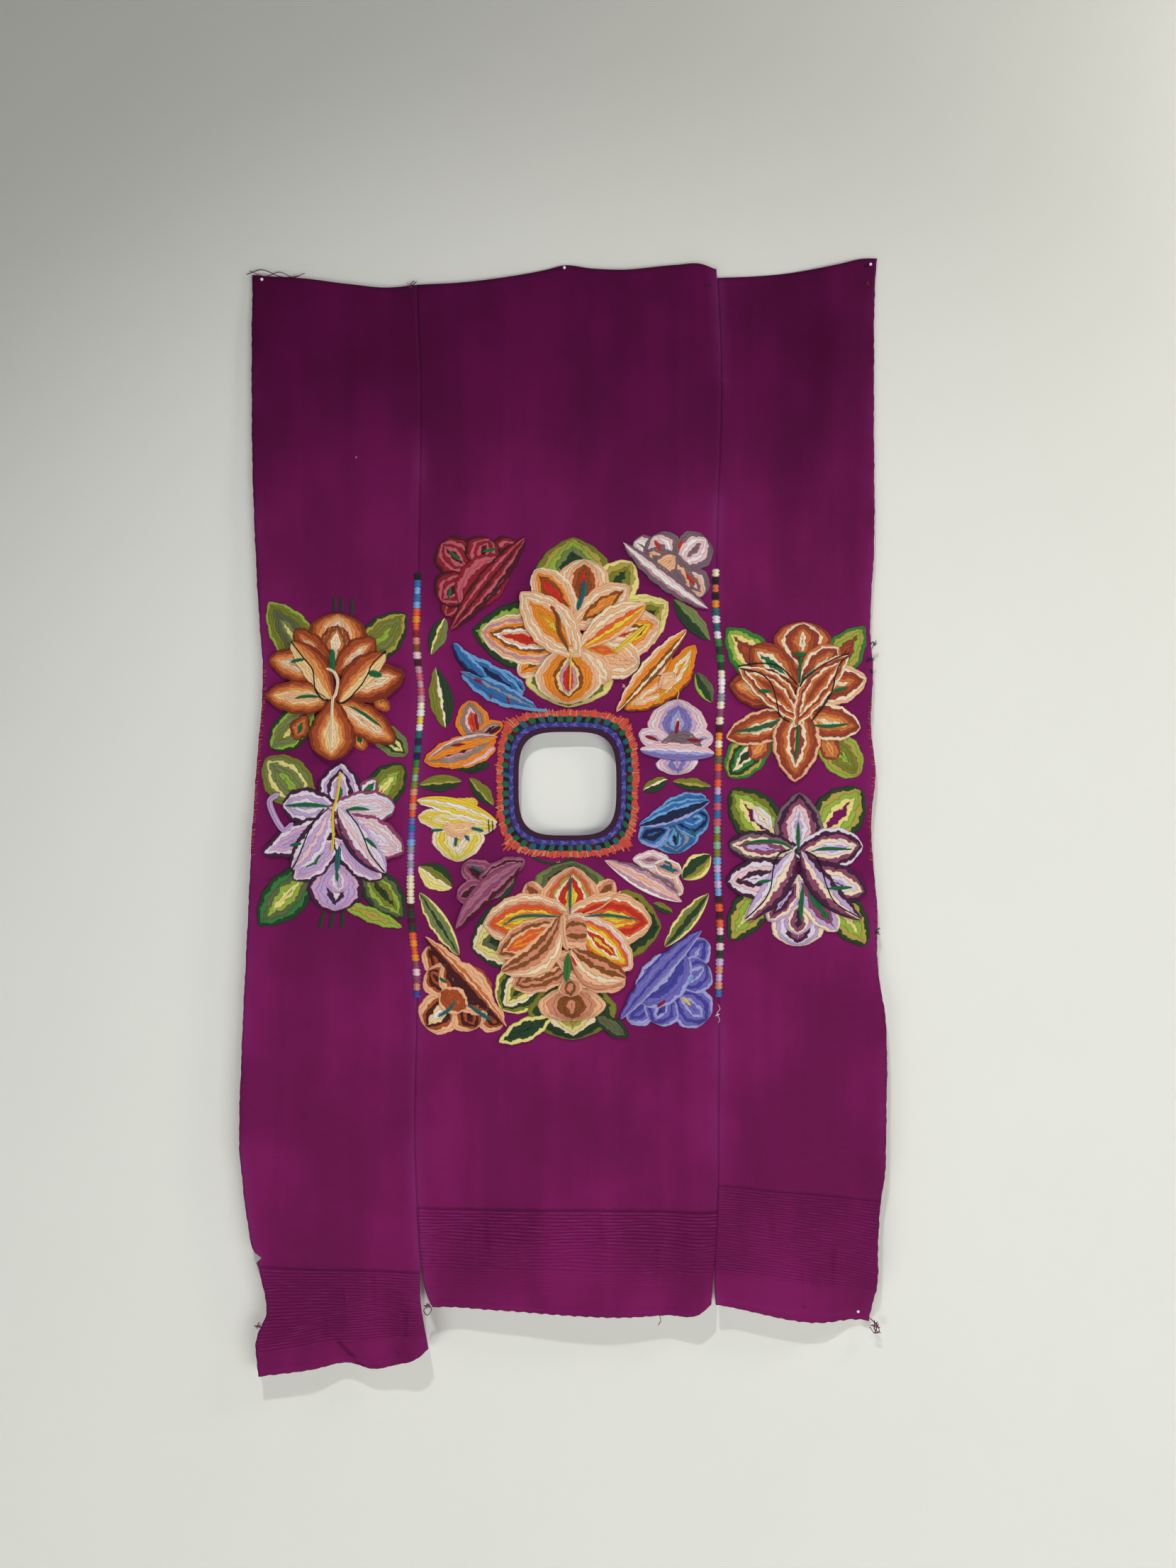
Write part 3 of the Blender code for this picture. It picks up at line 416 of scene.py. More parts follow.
class Thread(Enum):
    """Thread colours: the letter that stands for each in the tables, and its sRGB value."""

    BLACK = ("k", 0x160C14)
    MAROON = ("d", 0x430E16)
    RUST_DARK = ("D", 0x7E2C10)
    RUST = ("R", 0xA84A1C)
    ORANGE_RUST = ("O", 0xCE7038)
    APRICOT = ("A", 0xE6984F)
    PEACH = ("P", 0xEFB78C)
    SAND = ("Q", 0xF2CE94)
    CREAM = ("c", 0xF2DEBC)
    WHITE = ("w", 0xF2ECE8)
    BRICK_DARK = ("b", 0x6E221C)
    BRICK = ("B", 0x93372A)
    BROWN = ("n", 0x824A18)
    CRIMSON = ("C", 0x8C1028)
    ROSE = ("p", 0xC25A68)
    PALE_PINK = ("h", 0xEBC3C6)
    SALMON = ("S", 0xD48A6A)
    RED = ("r", 0xCC2A18)
    RED_ORANGE = ("E", 0xE3582A)
    ORANGE = ("o", 0xEE8A1E)
    GOLD = ("T", 0xD8921F)
    YELLOW = ("y", 0xEDCC38)
    PALE_YELLOW = ("Y", 0xE9DC86)
    DARK_GREEN = ("G", 0x1E3A20)
    GREEN = ("g", 0x2F7A34)
    EMERALD = ("e", 0x13693B)
    LIME = ("l", 0x93B23C)
    OLIVE = ("v", 0x7A7C24)
    SAGE = ("s", 0x76824A)
    GREY_OLIVE = ("x", 0x5E6240)
    TEAL = ("t", 0x1C6468)
    SKY = ("a", 0x6FA6DA)
    BLUE = ("U", 0x2E68A8)
    NAVY = ("N", 0x121C44)
    INDIGO = ("i", 0x3E3C9A)
    PERIWINKLE = ("I", 0x6C64BA)
    PALE_PERIWINKLE = ("j", 0xA3A4DA)
    VIOLET = ("V", 0x7C74B4)
    LILAC = ("L", 0xC3A6D4)
    PALE_LILAC = ("W", 0xE5D9E6)
    PLUM = ("u", 0x3E1438)
    MAUVE = ("m", 0x8C4266)
    GREY_MAUVE = ("z", 0x78626A)
    DUSTY_PINK = ("q", 0xC490A0)
    CORAL = ("K", 0xD2503F)
    MINT = ("M", 0x7FB48C)
    GREY = ("f", 0x8B9199)
    MUSTARD = ("H", 0xB0A044)
    TAUPE = ("1", 0x9A8070)
    OLD_ROSE = ("2", 0xA8667E)
    ORCHID = ("3", 0xD6A8CC)

    @property
    def linear(self) -> tuple[float, float, float, float]:
        """The colour in linear light, by the sRGB formula.

        Returns:
            Red, green, blue and alpha.
        """
        parts = [(self.value[1] >> shift & 255) / 255 for shift in (16, 8, 0)]
        red, green, blue = (p / 12.92 if p <= 0.04045 else ((p + 0.055) / 1.055)**2.4
                            for p in parts)
        return red, green, blue, 1.0

    @classmethod
    def row(cls, letters: str) -> Array:
        """Linear colours of a row of letters.

        Args:
            letters: one letter a thread.

        Returns:
            An array of that many rows of four.
        """
        found = {thread.value[0]: thread.linear for thread in cls}
        found[BARE] = (0.0, 0.0, 0.0, 1.0)
        return np.array([found[letter] for letter in letters])


@dataclass
class Nodes:
    """A short way to write a material's nodes."""

    material: bpy.types.Material

    @classmethod
    def fresh(cls, name: str) -> Nodes:
        """A new material with a Principled shader and an output.

        Args:
            name: the material's name.

        Returns:
            Its nodes.
        """
        material = bpy.data.materials.new(name)
        material.use_nodes = True
        return cls(material)

    @property
    def shader(self) -> bpy.types.Node:
        """The material's Principled shader."""
        return self.material.node_tree.nodes["Principled BSDF"]

    def add(self, kind: str, links: dict | None = None, **settings: object) -> bpy.types.Node:
        """Adds a node.

        Args:
            kind: the node type's name after "ShaderNode".
            links: what feeds each input: a socket, or a plain value.
            settings: the node's own properties.

        Returns:
            The node.
        """
        node = self.material.node_tree.nodes.new("ShaderNode" + kind)
        for key, value in settings.items():
            setattr(node, key, value)
        for key, value in (links or {}).items():
            self.feed(node.inputs[key], value)
        return node

    def feed(self, socket: Socket, value: object) -> None:
        """Links a socket to another, or sets its value.

        Args:
            socket: the input to feed.
            value: an output to link it to, or a plain value.
        """
        if isinstance(value, Socket):
            self.material.node_tree.links.new(value, socket)
        else:
            socket.default_value = value

    def surface(self, **inputs: object) -> None:
        """Feeds the shader; the underscores in the names stand for spaces."""
        for key, value in inputs.items():
            self.feed(self.shader.inputs[key.replace("_", " ")], value)

    def place(self) -> Socket:
        """The place on the object, in metres."""
        return self.add("TexCoord").outputs["Object"]

    def apart(self, vector: Socket) -> Sockets:
        """The parts "X", "Y" and "Z" of a vector."""
        return self.add("SeparateXYZ", {"Vector": vector}).outputs

    def thread_map(self) -> Sockets:
        """The piece's own map: its pair is "X" and "Y"."""
        return self.apart(self.add("UVMap", uv_map="thread_map").outputs["UV"])

    def maths(self, operation: str, *values: object) -> Socket:
        """The result of a Math node on those values."""
        return self.add("Math", dict(enumerate(values)), operation=operation).outputs[0]

    def times(self, value: object, other: object) -> Socket:
        """Two values multiplied."""
        return self.maths("MULTIPLY", value, other)

    def plus(self, value: object, other: object) -> Socket:
        """Two values added."""
        return self.maths("ADD", value, other)

    def ramp(self, value: Socket, low: float, high: float,
             low_to: float = 0.0, high_to: float = 1.0) -> Socket:
        """A value taken smoothly from (low, high) to (low_to, high_to)."""
        return self.add("MapRange", {"Value": value, "From Min": low, "From Max": high,
                                     "To Min": low_to, "To Max": high_to},
                        interpolation_type="SMOOTHSTEP").outputs["Result"]

    def noise(self, vector: Socket, scale: float, detail: float = 2.0) -> Socket:
        """Noise of that scale."""
        return self.add("TexNoise", {"Vector": vector, "Scale": scale, "Detail": detail}
                        ).outputs["Fac"]

    def stretched(self, vector: Socket, scale: tuple, detail: float = 1.0) -> Socket:
        """Noise of a scale of its own each way."""
        moved = self.add("Mapping", {"Vector": vector, "Scale": scale}).outputs[0]
        return self.noise(moved, 1.0, detail)

    def tint(self, factor: object, base: object, other: object, blend: str = "MIX") -> Socket:
        """Two colours mixed by a factor."""
        return self.add("Mix", {0: factor, 6: base, 7: other}, data_type="RGBA",
                        blend_type=blend).outputs[2]

    def toned(self, factor: object, base: object, dye: object, tone: tuple) -> Socket:
        """A colour mixed by a factor with the dye times a tone."""
        return self.tint(factor, base, self.tint(1.0, dye, (*tone, 1.0), "MULTIPLY"))

    def shaded(self, colour: Socket, shade: object) -> Socket:
        """A colour times a value."""
        return self.add("VectorMath", {0: colour, 1: shade}, operation="MULTIPLY").outputs[0]

    def bump(self, height: Socket, distance: float) -> Socket:
        """A normal from a height, its distance in metres."""
        return self.add("Bump", {"Height": height, "Distance": distance, "Strength": 1.0}
                        ).outputs["Normal"]


@dataclass(frozen=True)
class CottonFinish:
    """Handwoven cotton in purple dye: fine rows, slow upright streaks, darker towards the top as
    painted shade, with painted shade in its furrows and creases, a painted highlight on the tops
    of its cords, and rubbed paler along its edges.

    The cloth's map holds how high on a cord a place lies (0.5 on flat cloth), shifted where a
    crease is painted, which sets the painted shade and highlight, and how far from an edge. The
    scales are those of noise across, through and up the cloth.
    """

    name: str = "cotton_cloth"
    # darker purple for the top of the cloth: painted shade over the dye
    upper_with_painted_shade: tuple = (0.081, 0.0015, 0.042, 1.0)
    lower: tuple = (0.152, 0.0070, 0.079, 1.0)
    # paler purple: a painted highlight on the cord tops, and the edges rubbed paler
    highlight_and_wear_colour: tuple = (0.235, 0.042, 0.215, 1.0)
    streak_scale: tuple = (26.0, 1.0, 0.9)
    cloud_scale: tuple = (6.5, 6.5, 4.5)
    row_scale: tuple = (12.0, 1.0, 520.0)
    weave_scale: tuple = (900.0, 900.0, 900.0)
    nap_scale: tuple = (70.0, 1.0, 210.0)
    lean_scale: tuple = (40.0, 1.0, 30.0)
    streak_share: float = 0.22
    darkest: float = 0.82
    palest: float = 1.19
    # how dark the painted shade in the furrows is
    painted_furrow_shade: float = 0.52
    # how much painted highlight the cord tops get
    painted_top_highlight: float = 0.34
    edge_wear: float = 0.17
    column: float = 0.0036
    relief: float = 0.0003

    def dye_with_painted_top_shade(self, nodes: Nodes, clouds: Socket, rows: Socket) -> Socket:
        """The dye: two purples over the height, the one for the top darker as painted shade, times
        streaks, clouds and woven rows.

        Args:
            nodes: the material's nodes.
            clouds: the slow noise.
            rows: the noise of the woven rows.

        Returns:
            The colour.
        """
        place = nodes.place()
        # painted shade: the dye turns to the darker purple towards the top of the cloth
        dye = nodes.tint(nodes.ramp(nodes.apart(place)["Z"], -0.1, -0.6), self.upper_with_painted_shade, self.lower)
        streaks = nodes.stretched(place, self.streak_scale, 3.0)
        mix = nodes.plus(nodes.times(streaks, self.streak_share),
                         nodes.times(clouds, 1 - self.streak_share))
        shade = nodes.ramp(mix, 0.36, 0.66, self.darkest, self.palest)
        return nodes.shaded(dye, nodes.times(shade, nodes.ramp(rows, 0.3, 0.7, 0.975, 1.025)))

    def ridge(self, nodes: Nodes, height: Socket) -> Socket:
        """How high on a cord a place looks, which sets the painted shade and highlight: its height,
        the nap, and on the tops the needle's upright columns, a sine across the cloth that leans to
        and fro.

        Args:
            nodes: the material's nodes.
            height: how high on a cord it lies.

        Returns:
            The height.
        """
        place = nodes.place()
        nap = nodes.maths("SUBTRACT", nodes.stretched(place, self.nap_scale, 2.0), 0.5)
        ridge = nodes.plus(height, nodes.times(nap, 0.22))
        lean = nodes.times(nodes.stretched(place, self.lean_scale), 9.0)
        turns = nodes.plus(nodes.times(nodes.apart(place)["X"], 2 * math.pi / self.column), lean)
        return nodes.plus(ridge, nodes.times(nodes.maths("SINE", turns),
                                             nodes.ramp(height, 0.55, 0.8, 0.0, 0.06)))

    @cache
    def make(self) -> bpy.types.Material:
        """Builds the material: in its dye, with painted shade in the furrows and creases, a painted
        highlight on the tops of the cords, and rubbed paler along the edges.

        Returns:
            The material.
        """
        nodes = Nodes.fresh(self.name)
        place, painted_light_and_wear = nodes.place(), nodes.thread_map()
        clouds = nodes.stretched(place, self.cloud_scale, 4.0)
        rows = nodes.stretched(place, self.row_scale)
        ridge = self.ridge(nodes, painted_light_and_wear["X"])
        # painted shade: darker where a place lies low on a cord, in the furrows and creases
        colour = nodes.shaded(self.dye_with_painted_top_shade(nodes, clouds, rows),
                              nodes.ramp(ridge, 0.10, 0.44, self.painted_furrow_shade, 1.0))
        # painted highlight on the cord tops; the edges are rubbed paler in patches
        top = nodes.ramp(ridge, 0.60, 0.90, 0.0, self.painted_top_highlight)
        edge = nodes.times(nodes.ramp(painted_light_and_wear["Y"], 0.0, 0.7, self.edge_wear, 0.0),
                           nodes.ramp(clouds, 0.42, 0.62))
        colour = nodes.tint(nodes.maths("MAXIMUM", top, edge), colour, self.highlight_and_wear_colour)
        weave = nodes.plus(nodes.times(rows, 0.35), nodes.stretched(place, self.weave_scale))
        nodes.surface(Base_Color=colour, Roughness=0.9, Sheen_Weight=0.03, Sheen_Roughness=0.4,
                      Sheen_Tint=(0.9, 0.3, 0.8, 1.0), Specular_IOR_Level=0.12,
                      Normal=nodes.bump(weave, self.relief))
        return nodes.material


@dataclass(frozen=True)
class ThreadFinish:
    """Embroidery thread: its colour is the mesh's own, with painted shade between its strands,
    which cross the bands, and each band is edged by painted shade in its groove, darkest in a
    broken line of needle pricks.

    strand and dash are lengths along a band in millimetres; depth is in metres.
    """

    name: str
    strand: float = 0.8
    dash: float = 3.6
    depth: float = 0.00012
    sheen: float = 0.08
    edged: bool = True

    @staticmethod
    def wave(nodes: Nodes, along: Socket, length: float, wander: Socket) -> Socket:
        """A sine along the band, its turns shifted by some noise."""
        return nodes.maths("SINE", nodes.plus(nodes.times(along, 2 * math.pi / length), wander))

    def groove_shade_and_needle_holes(self, nodes: Nodes, shade: Socket, dye: Socket) -> Socket:
        """Paints shade along the edges of the bands, in the grooves between them, darkest in
        broken lines of needle pricks there.

        Args:
            nodes: the material's nodes.
            shade: the colour so far.
            dye: the thread's own colour.

        Returns:
            The colour.
        """
        both = nodes.thread_map()
        beside = nodes.maths("PINGPONG", both["Y"], 0.5)
        # painted shade in the groove beside each band's edge
        shade = nodes.toned(nodes.ramp(beside, 0.0, 0.22, 0.35, 0.0), shade, dye,
                            (0.35, 0.25, 0.25))
        wander = nodes.times(nodes.noise(nodes.place(), 70.0), 22.0)
        # needle pricks: painted shade in broken lines along the groove
        dashes = nodes.ramp(self.wave(nodes, both["X"], self.dash, wander), -0.7, 0.4, 0.15, 1.0)
        line = nodes.ramp(beside, 0.02, 0.075, 0.85, 0.0)
        return nodes.toned(nodes.times(line, dashes), shade, dye, (0.16, 0.10, 0.10))

    @cache
    def make(self) -> bpy.types.Material:
        """Builds the material: the dye, with painted shade between strands, paler in patches, and
        the bands edged with painted shade.

        Returns:
            The material.
        """
        nodes = Nodes.fresh(self.name)
        dye = nodes.add("VertexColor", layer_name="thread").outputs["Color"]
        place = nodes.place()
        wander = nodes.times(nodes.noise(place, 300.0), 9.0)
        strands = self.wave(nodes, nodes.thread_map()["X"], self.strand, wander)
        # painted shade between the strands
        shade = nodes.toned(nodes.ramp(strands, -1.0, 0.0, 0.16, 0.0), dye, dye,
                            (0.32, 0.26, 0.28))
        patches = nodes.ramp(nodes.noise(place, 120.0, 3.0), 0.35, 0.7, 0.0, 0.3)
        shade = nodes.toned(patches, shade, dye, (1.2, 1.17, 1.15))
        if self.edged:
            shade = self.groove_shade_and_needle_holes(nodes, shade, dye)
        nodes.surface(Base_Color=shade, Roughness=0.66, Sheen_Weight=self.sheen,
                      Sheen_Roughness=0.35, Specular_IOR_Level=0.3,
                      Normal=nodes.bump(strands, self.depth))
        return nodes.material


@dataclass(frozen=True)
class PlainFinish:
    """One even colour, with a soft unevenness."""

    name: str
    colour: tuple
    roughness: float
    unevenness: float = 0.04
    specular: float = 0.5

    @cache
    def make(self) -> bpy.types.Material:
        """Builds the material: clouds of noise between the colour and a darker one.

        Returns:
            The material.
        """
        nodes = Nodes.fresh(self.name)
        cloud = nodes.ramp(nodes.noise(nodes.place(), 4.0, 4.0), 0.3, 0.7, 0.0, self.unevenness)
        darker = tuple(0.7 * part for part in self.colour[:3]) + (1.0,)
        nodes.surface(Base_Color=nodes.tint(cloud, self.colour, darker),
                      Roughness=self.roughness, Specular_IOR_Level=self.specular)
        return nodes.material


Finish = CottonFinish | ThreadFinish | PlainFinish
COTTON = CottonFinish()
PETAL_THREAD = ThreadFinish("petal_floss")
LEAF_THREAD = ThreadFinish("leaf_floss", strand=1.05)
LINE_THREAD = ThreadFinish("line_floss", strand=1.3, depth=0.0002, edged=False)
BEAD_THREAD = ThreadFinish("bead_floss", strand=1.2, depth=0.0003, sheen=0.25, edged=False)
ENAMEL = PlainFinish("white_enamel", (0.86, 0.85, 0.82, 1.0), 0.25)


# ---- Cloth ----


def neck_ring(offset: Array, angle: Array) -> Array:
    """The neck's outline at some distance outside its opening: |x/a|^n + |z/b|^n = 1.

    Args:
        offset: how far outside the opening.
        angle: the curve's own angle.

    Returns:
        (x, z) of each point.
    """
    power = 2 / NECK_SQUARENESS
    cos, sin = np.cos(angle), np.sin(angle)
    x = (NECK_HALF[0] + offset) * np.sign(cos) * np.abs(cos)**power
    z = (NECK_HALF[1] + offset) * np.sign(sin) * np.abs(sin)**power
    return np.stack([NECK_CENTRE[0] + x, NECK_CENTRE[1] + z], axis=-1)


def parting(drop: Array, row: Sequence[float]) -> Array:
    """How far a seam has come apart at a drop: nothing above its start, then more and more."""
    start, end, gap = row
    return gap * np.clip((drop - start) / (end - start), 0, 1.2)**2


class Side(Enum):
    """The three lengths of cloth."""

    LEFT = "left_panel"
    CENTRE = "centre_panel"
    RIGHT = "right_panel"

    def edges(self, drop: Array) -> tuple[Array, Array]:
        """The panel's two upright edges.

        Args:
            drop: where they are read.

        Returns:
            x of the left edge and of the right one at each drop.
        """
        if self is Side.LEFT:
            return curve(LEFT_EDGE, drop), curve(LEFT_SEAM, drop) - SEAM_GAP / 2
        if self is Side.CENTRE:
            return (curve(LEFT_SEAM, drop) + SEAM_GAP / 2 + parting(drop, LEFT_PARTING),
                    curve(RIGHT_SEAM, drop) - SEAM_GAP / 2)
        return (curve(RIGHT_SEAM, drop) + SEAM_GAP / 2 + parting(drop, RIGHT_PARTING),
                curve(RIGHT_EDGE, drop))

    def between(self, drop: float, share: Array) -> Array:
        """x at some shares of the way from the left edge to the right one, at one drop."""
        left, right = self.edges(np.array(drop))
        return left + (right - left) * share


@dataclass
class Panel:
    """One length of cloth: a closed shell of two grids and the rim between them.

    top and hem are rows of (x, drop). ribs are the drops of the first cord at the left and right
    edge and those of the last one, and cords holds each cord's height as a share of cord_rise.
    flat is the size of the cloth laid flat, in metres; it is not used.
    """

    side: Side
    top: Rows
    hem: Rows
    ribs: tuple
    cords: tuple
    flat: tuple
    cell: float = 4.3
    row: float = 8.0
    rib_rows: int = 5
    hem_rows: int = 18
    roll_rows: int = 8
    cord_rise: float = 1.5
    roll_rise: float = 0.9
    wear_reach: float = 30.0
    waist: float = 800.0

    def lines(self) -> tuple[Array, Array, Array, Array]:
        """The grid: each row lies at a share of the way between two of four lines across the
        panel, which are its top, its first cord, its last cord and its hem.

        Returns:
            x, drop and the relief of the cords and the rolled hem at each point, and the map of
            the painted light and the rubbed edges: how high on a cord it lies, which sets painted shade
            in furrows and creases and a painted highlight on tops, and how far from an edge, in
            wear_reach.
        """
        first_left, first_right, last_left, last_right = self.ribs
        width = np.ptp(self.side.between(self.waist, np.array([0, 1])))
        u = np.linspace(0, 1, int(width / self.cell) + 2)
        across = self.side.between(self.waist, u)
        lines = [curve(self.top, self.side.between(0.0, u)),
                 first_left + (first_right - first_left) * u,
                 last_left + (last_right - last_left) * u,
                 curve(self.hem, self.side.between(self.hem[0][1], u))]
        shares = [np.linspace(0, 1, int(first_left / self.row), endpoint=False),
                  np.linspace(0, 1, self.rib_rows * len(self.cords), endpoint=False),
                  np.linspace(0, 1, self.hem_rows)]
        drop = np.concatenate([a + (b - a) * share[:, None]
                               for a, b, share in zip(lines, lines[1:], shares)])
        relief, painted_light_and_wear = np.zeros_like(drop), np.full_like(drop, 0.5)
        start = len(shares[0])
        corded, rolled = slice(start, start + len(shares[1])), slice(-self.roll_rows, None)
        for rows, changes in ((corded, self.corded(across, shares[1])),
                              (rolled, self.rolled(across))):
            for grid, change in zip((drop, relief, painted_light_and_wear), changes):
                grid[rows] += change
        left, right = self.frayed(drop)
        edge = np.minimum(u, 1 - u) * (right - left) / self.wear_reach
        x = left + (right - left) * u
        # the painted crease shade and highlight are taken off the height on a cord
        return x, drop, relief, np.stack([painted_light_and_wear - self.crease_shade(x, drop), edge], axis=-1)

    def corded(self, across: Array, share: Array) -> tuple[Array, Array, Array]:
        """The cords: each rises as |sin|^0.6, wanders by three sines of the place across,
        swells by two crossed ones, and is puckered by two more.

        Args:
            across: x of each column.
            share: each row's share of the way from the first cord to the last.

        Returns:
            What is added to the drop, the relief and the painted light at each (row, column): a
            painted highlight on the cord tops and painted shade in the furrows.
        """
        count = len(self.cords)
        number = np.repeat(np.arange(count), self.rib_rows)[:, None]
        phase = (np.arange(self.rib_rows * count) / self.rib_rows)[:, None] % 1
        easing = np.sin(math.pi * share)[:, None]**0.5
        wander = (np.sin(across / 15 + 0.7 * number) + 0.6 * np.sin(across / 6.3 + 3.7 * number)
                  + 2.6 * np.sin(across / 43 + 0.35 * number))
        swell = 1 + 0.16 * np.sin(across / 9 + 2.4 * number**2) * np.sin(across / 31 + number**2)
        pucker = 0.22 * np.sin(across / 1.9 + 0.2 * np.sin(number)) * np.sin(across / 57 + 0.9)
        top = np.abs(np.sin(math.pi * phase))**0.6 * swell + pucker * easing
        height = np.array(self.cords)[number]
        # painted light: high on the cord tops for a painted highlight, low in the furrows for painted
        # shade
        painted_light_and_wear = 0.62 * np.minimum(height, 1) * (top - 0.8 * pucker * easing - 0.66)
        return 0.6 * wander * easing, self.cord_rise * height * top, painted_light_and_wear

    def rolled(self, across: Array) -> tuple[Array, Array, Array]:
        """The rolled hem: it rises as sin^0.7 over its rows, and three sines of the place
        across make its foot ragged.

        Args:
            across: x of each column.

        Returns:
            What is added to the drop, the relief and the painted light at each (row, column): a
            painted highlight along the top of the roll, painted shade at its foot.
        """
        turn = np.linspace(0, 1, self.roll_rows)[:, None]
        relief = self.roll_rise * np.sin(math.pi * turn)**0.7 * (1 + 0.25 * np.sin(across / 7))
        ragged = 0.5 * np.sin(across / 3.1) + 0.6 * np.sin(across / 8.3 + 1) * np.sin(across / 2.2)
        # painted light: the roll's top is painted paler, its foot darker
        return turn * ragged, relief, 0.3 * (np.sin(math.pi * turn)**2 - 0.4)

    def frayed(self, drop: Array) -> tuple[Array, Array]:
        """The upright edges: the outer ones are frayed by three sines of the drop, and the left
        one is torn.

        Args:
            drop: where they are read.

        Returns:
            x of the left edge and of the right one at each drop.
        """
        left, right = self.side.edges(drop)
        fray = 0.35 * np.sin(drop / 2.9) + 0.5 * np.sin(drop / 7.7 + 2) * np.sin(drop / 19)
        if self.side is Side.LEFT:
            middle, half, depth = TEAR
            left = left + fray + depth * np.exp(-((drop - middle) / half)**2)
        if self.side is Side.RIGHT:
            right = right + fray
        return left, right

    @staticmethod
    def crease_shade(x: Array, drop: Array) -> Array:
        """How dark the painted shade of the sharp creases makes each point: beside each crease,
        painted shade on one side and a painted highlight on the other, fading over its half width
        and past its ends.

        Args:
            x: places across.
            drop: places down.

        Returns:
            The darkness at each place.
        """
        dark = np.zeros_like(x)
        for x0, drop0, x1, drop1, half, depth in PAINTED_CREASES:
            way = np.array([x1 - x0, drop1 - drop0], float)
            length = np.hypot(*way)
            along = ((x - x0) * way[0] + (drop - drop0) * way[1]) / length
            aside = ((x - x0) * way[1] - (drop - drop0) * way[0]) / length
            beyond = np.maximum(np.maximum(-along, along - length), 0)
            dark += depth * np.exp(-(aside / half)**2 - (beyond / 8)**2) * np.clip(
                0.5 - aside / half, -0.6, 1)
        return dark

    def build(self) -> Object:
        """Builds the panel and cuts the neck's hole in the centre one.

        Returns:
            The panel.
        """
        x, drop, relief, painted_light_and_wear = self.lines()
        triangles = grid_triangles(*x.shape)
        x, drop, relief = x.ravel(), drop.ravel(), relief.ravel()
        if self.side is Side.CENTRE:
            x, drop, triangles = self.cut_neck(x, drop, triangles)
        face = HANG.face(x, -drop)
        front = np.stack([x, -(face + relief), -drop], axis=-1)
        back = np.stack([x, CLOTH - face, -drop], axis=-1)
        shell = np.concatenate([triangles, triangles[:, ::-1] + len(front),
                                self.rim(triangles, len(front))])
        painted_light_and_wear = np.concatenate([painted_light_and_wear.reshape(-1, 2)] * 2)
        obj = mesh_object(self.side.value + "_cloth", np.concatenate([front, back]), shell,
                          COTTON, thread_map=painted_light_and_wear)
        return handed(obj, self.side.value)

    @staticmethod
    def cut_neck(x: Array, drop: Array, triangles: Array) -> tuple[Array, Array, Array]:
        """Leaves out what lies inside the neck's cut and draws its edge onto the cut.

        Args:
            x: places across.
            drop: places down.
            triangles: the grid's triangles.

        Returns:
            The moved places, and the triangles that are left.
        """
        across = x - NECK_CENTRE[0]
        up = -drop - NECK_CENTRE[1]
        half_x, half_z = (half + CROCHET_WIDTH + SEAM_GAP for half in NECK_HALF)
        reach = (np.abs(across / half_x)**NECK_SQUARENESS
                 + np.abs(up / half_z)**NECK_SQUARENESS)**(1 / NECK_SQUARENESS)
        kept = (reach[triangles] >= 1).any(axis=1)
        inside = (reach < 1) & np.isin(np.arange(len(x)), triangles[kept])
        pull = np.where(inside, 1 / np.maximum(reach, 0.2), 1.0)
        return (NECK_CENTRE[0] + across * pull, -(NECK_CENTRE[1] + up * pull),
                triangles[kept])

    @staticmethod
    def rim(triangles: Array, twin: int) -> Array:
        """Two triangles for each edge that only one face has, down to the back's twins.

        Args:
            triangles: the front's triangles.
            twin: how much higher the number of a point's twin on the back is.

        Returns:
            The rim's triangles.
        """
        edges = np.concatenate([triangles[:, [0, 1]], triangles[:, [1, 2]], triangles[:, [2, 0]]])
        key = np.sort(edges, axis=1)
        _, first, count = np.unique(key, axis=0, return_index=True, return_counts=True)
        a, b = edges[first[count == 1]].T
        return np.concatenate([np.stack([b, a, a + twin], axis=-1),
                               np.stack([b, a + twin, b + twin], axis=-1)])


# ---- Embroidery ----


def resampled(line: Array, step: float, closed: bool = False) -> tuple[Array, Array]:
    """Points at even distances along a line.

    Args:
        line: (x, z) points.
        step: about how far apart the new ones are.
        closed: whether the last point meets the first.

    Returns:
        The new points, and how far along the line each lies.
    """
    if closed:
        line = np.concatenate([line, line[:1]])
    run = length_along(line)
    count = max(4, int(run[-1] / step))
    at = np.linspace(0, run[-1], count + 1)[:-1 if closed else None]
    return np.stack([np.interp(at, run, line[:, 0]), np.interp(at, run, line[:, 1])], axis=-1), at


def smooth_line(knots: Array, steps: int = 8) -> Array:
    """A Catmull-Rom line through some knots.

    Args:
        knots: (x, z) of each knot.
        steps: points from one knot to the next.

    Returns:
        The line's points.
    """
    ends = np.concatenate([2 * knots[:1] - knots[1:2], knots, 2 * knots[-1:] - knots[-2:-1]])
    t = np.linspace(0, 1, steps, endpoint=False)[None, :, None]
    a, b, c, d = (ends[i:len(ends) - 3 + i, None, :] for i in range(4))
    line = 0.5 * (2 * b + (c - a) * t + (2 * a - 5 * b + 4 * c - d) * t**2
                  + (3 * b - a - 3 * c + d) * t**3)
    return np.concatenate([line.reshape(-1, 2), knots[-1:]])


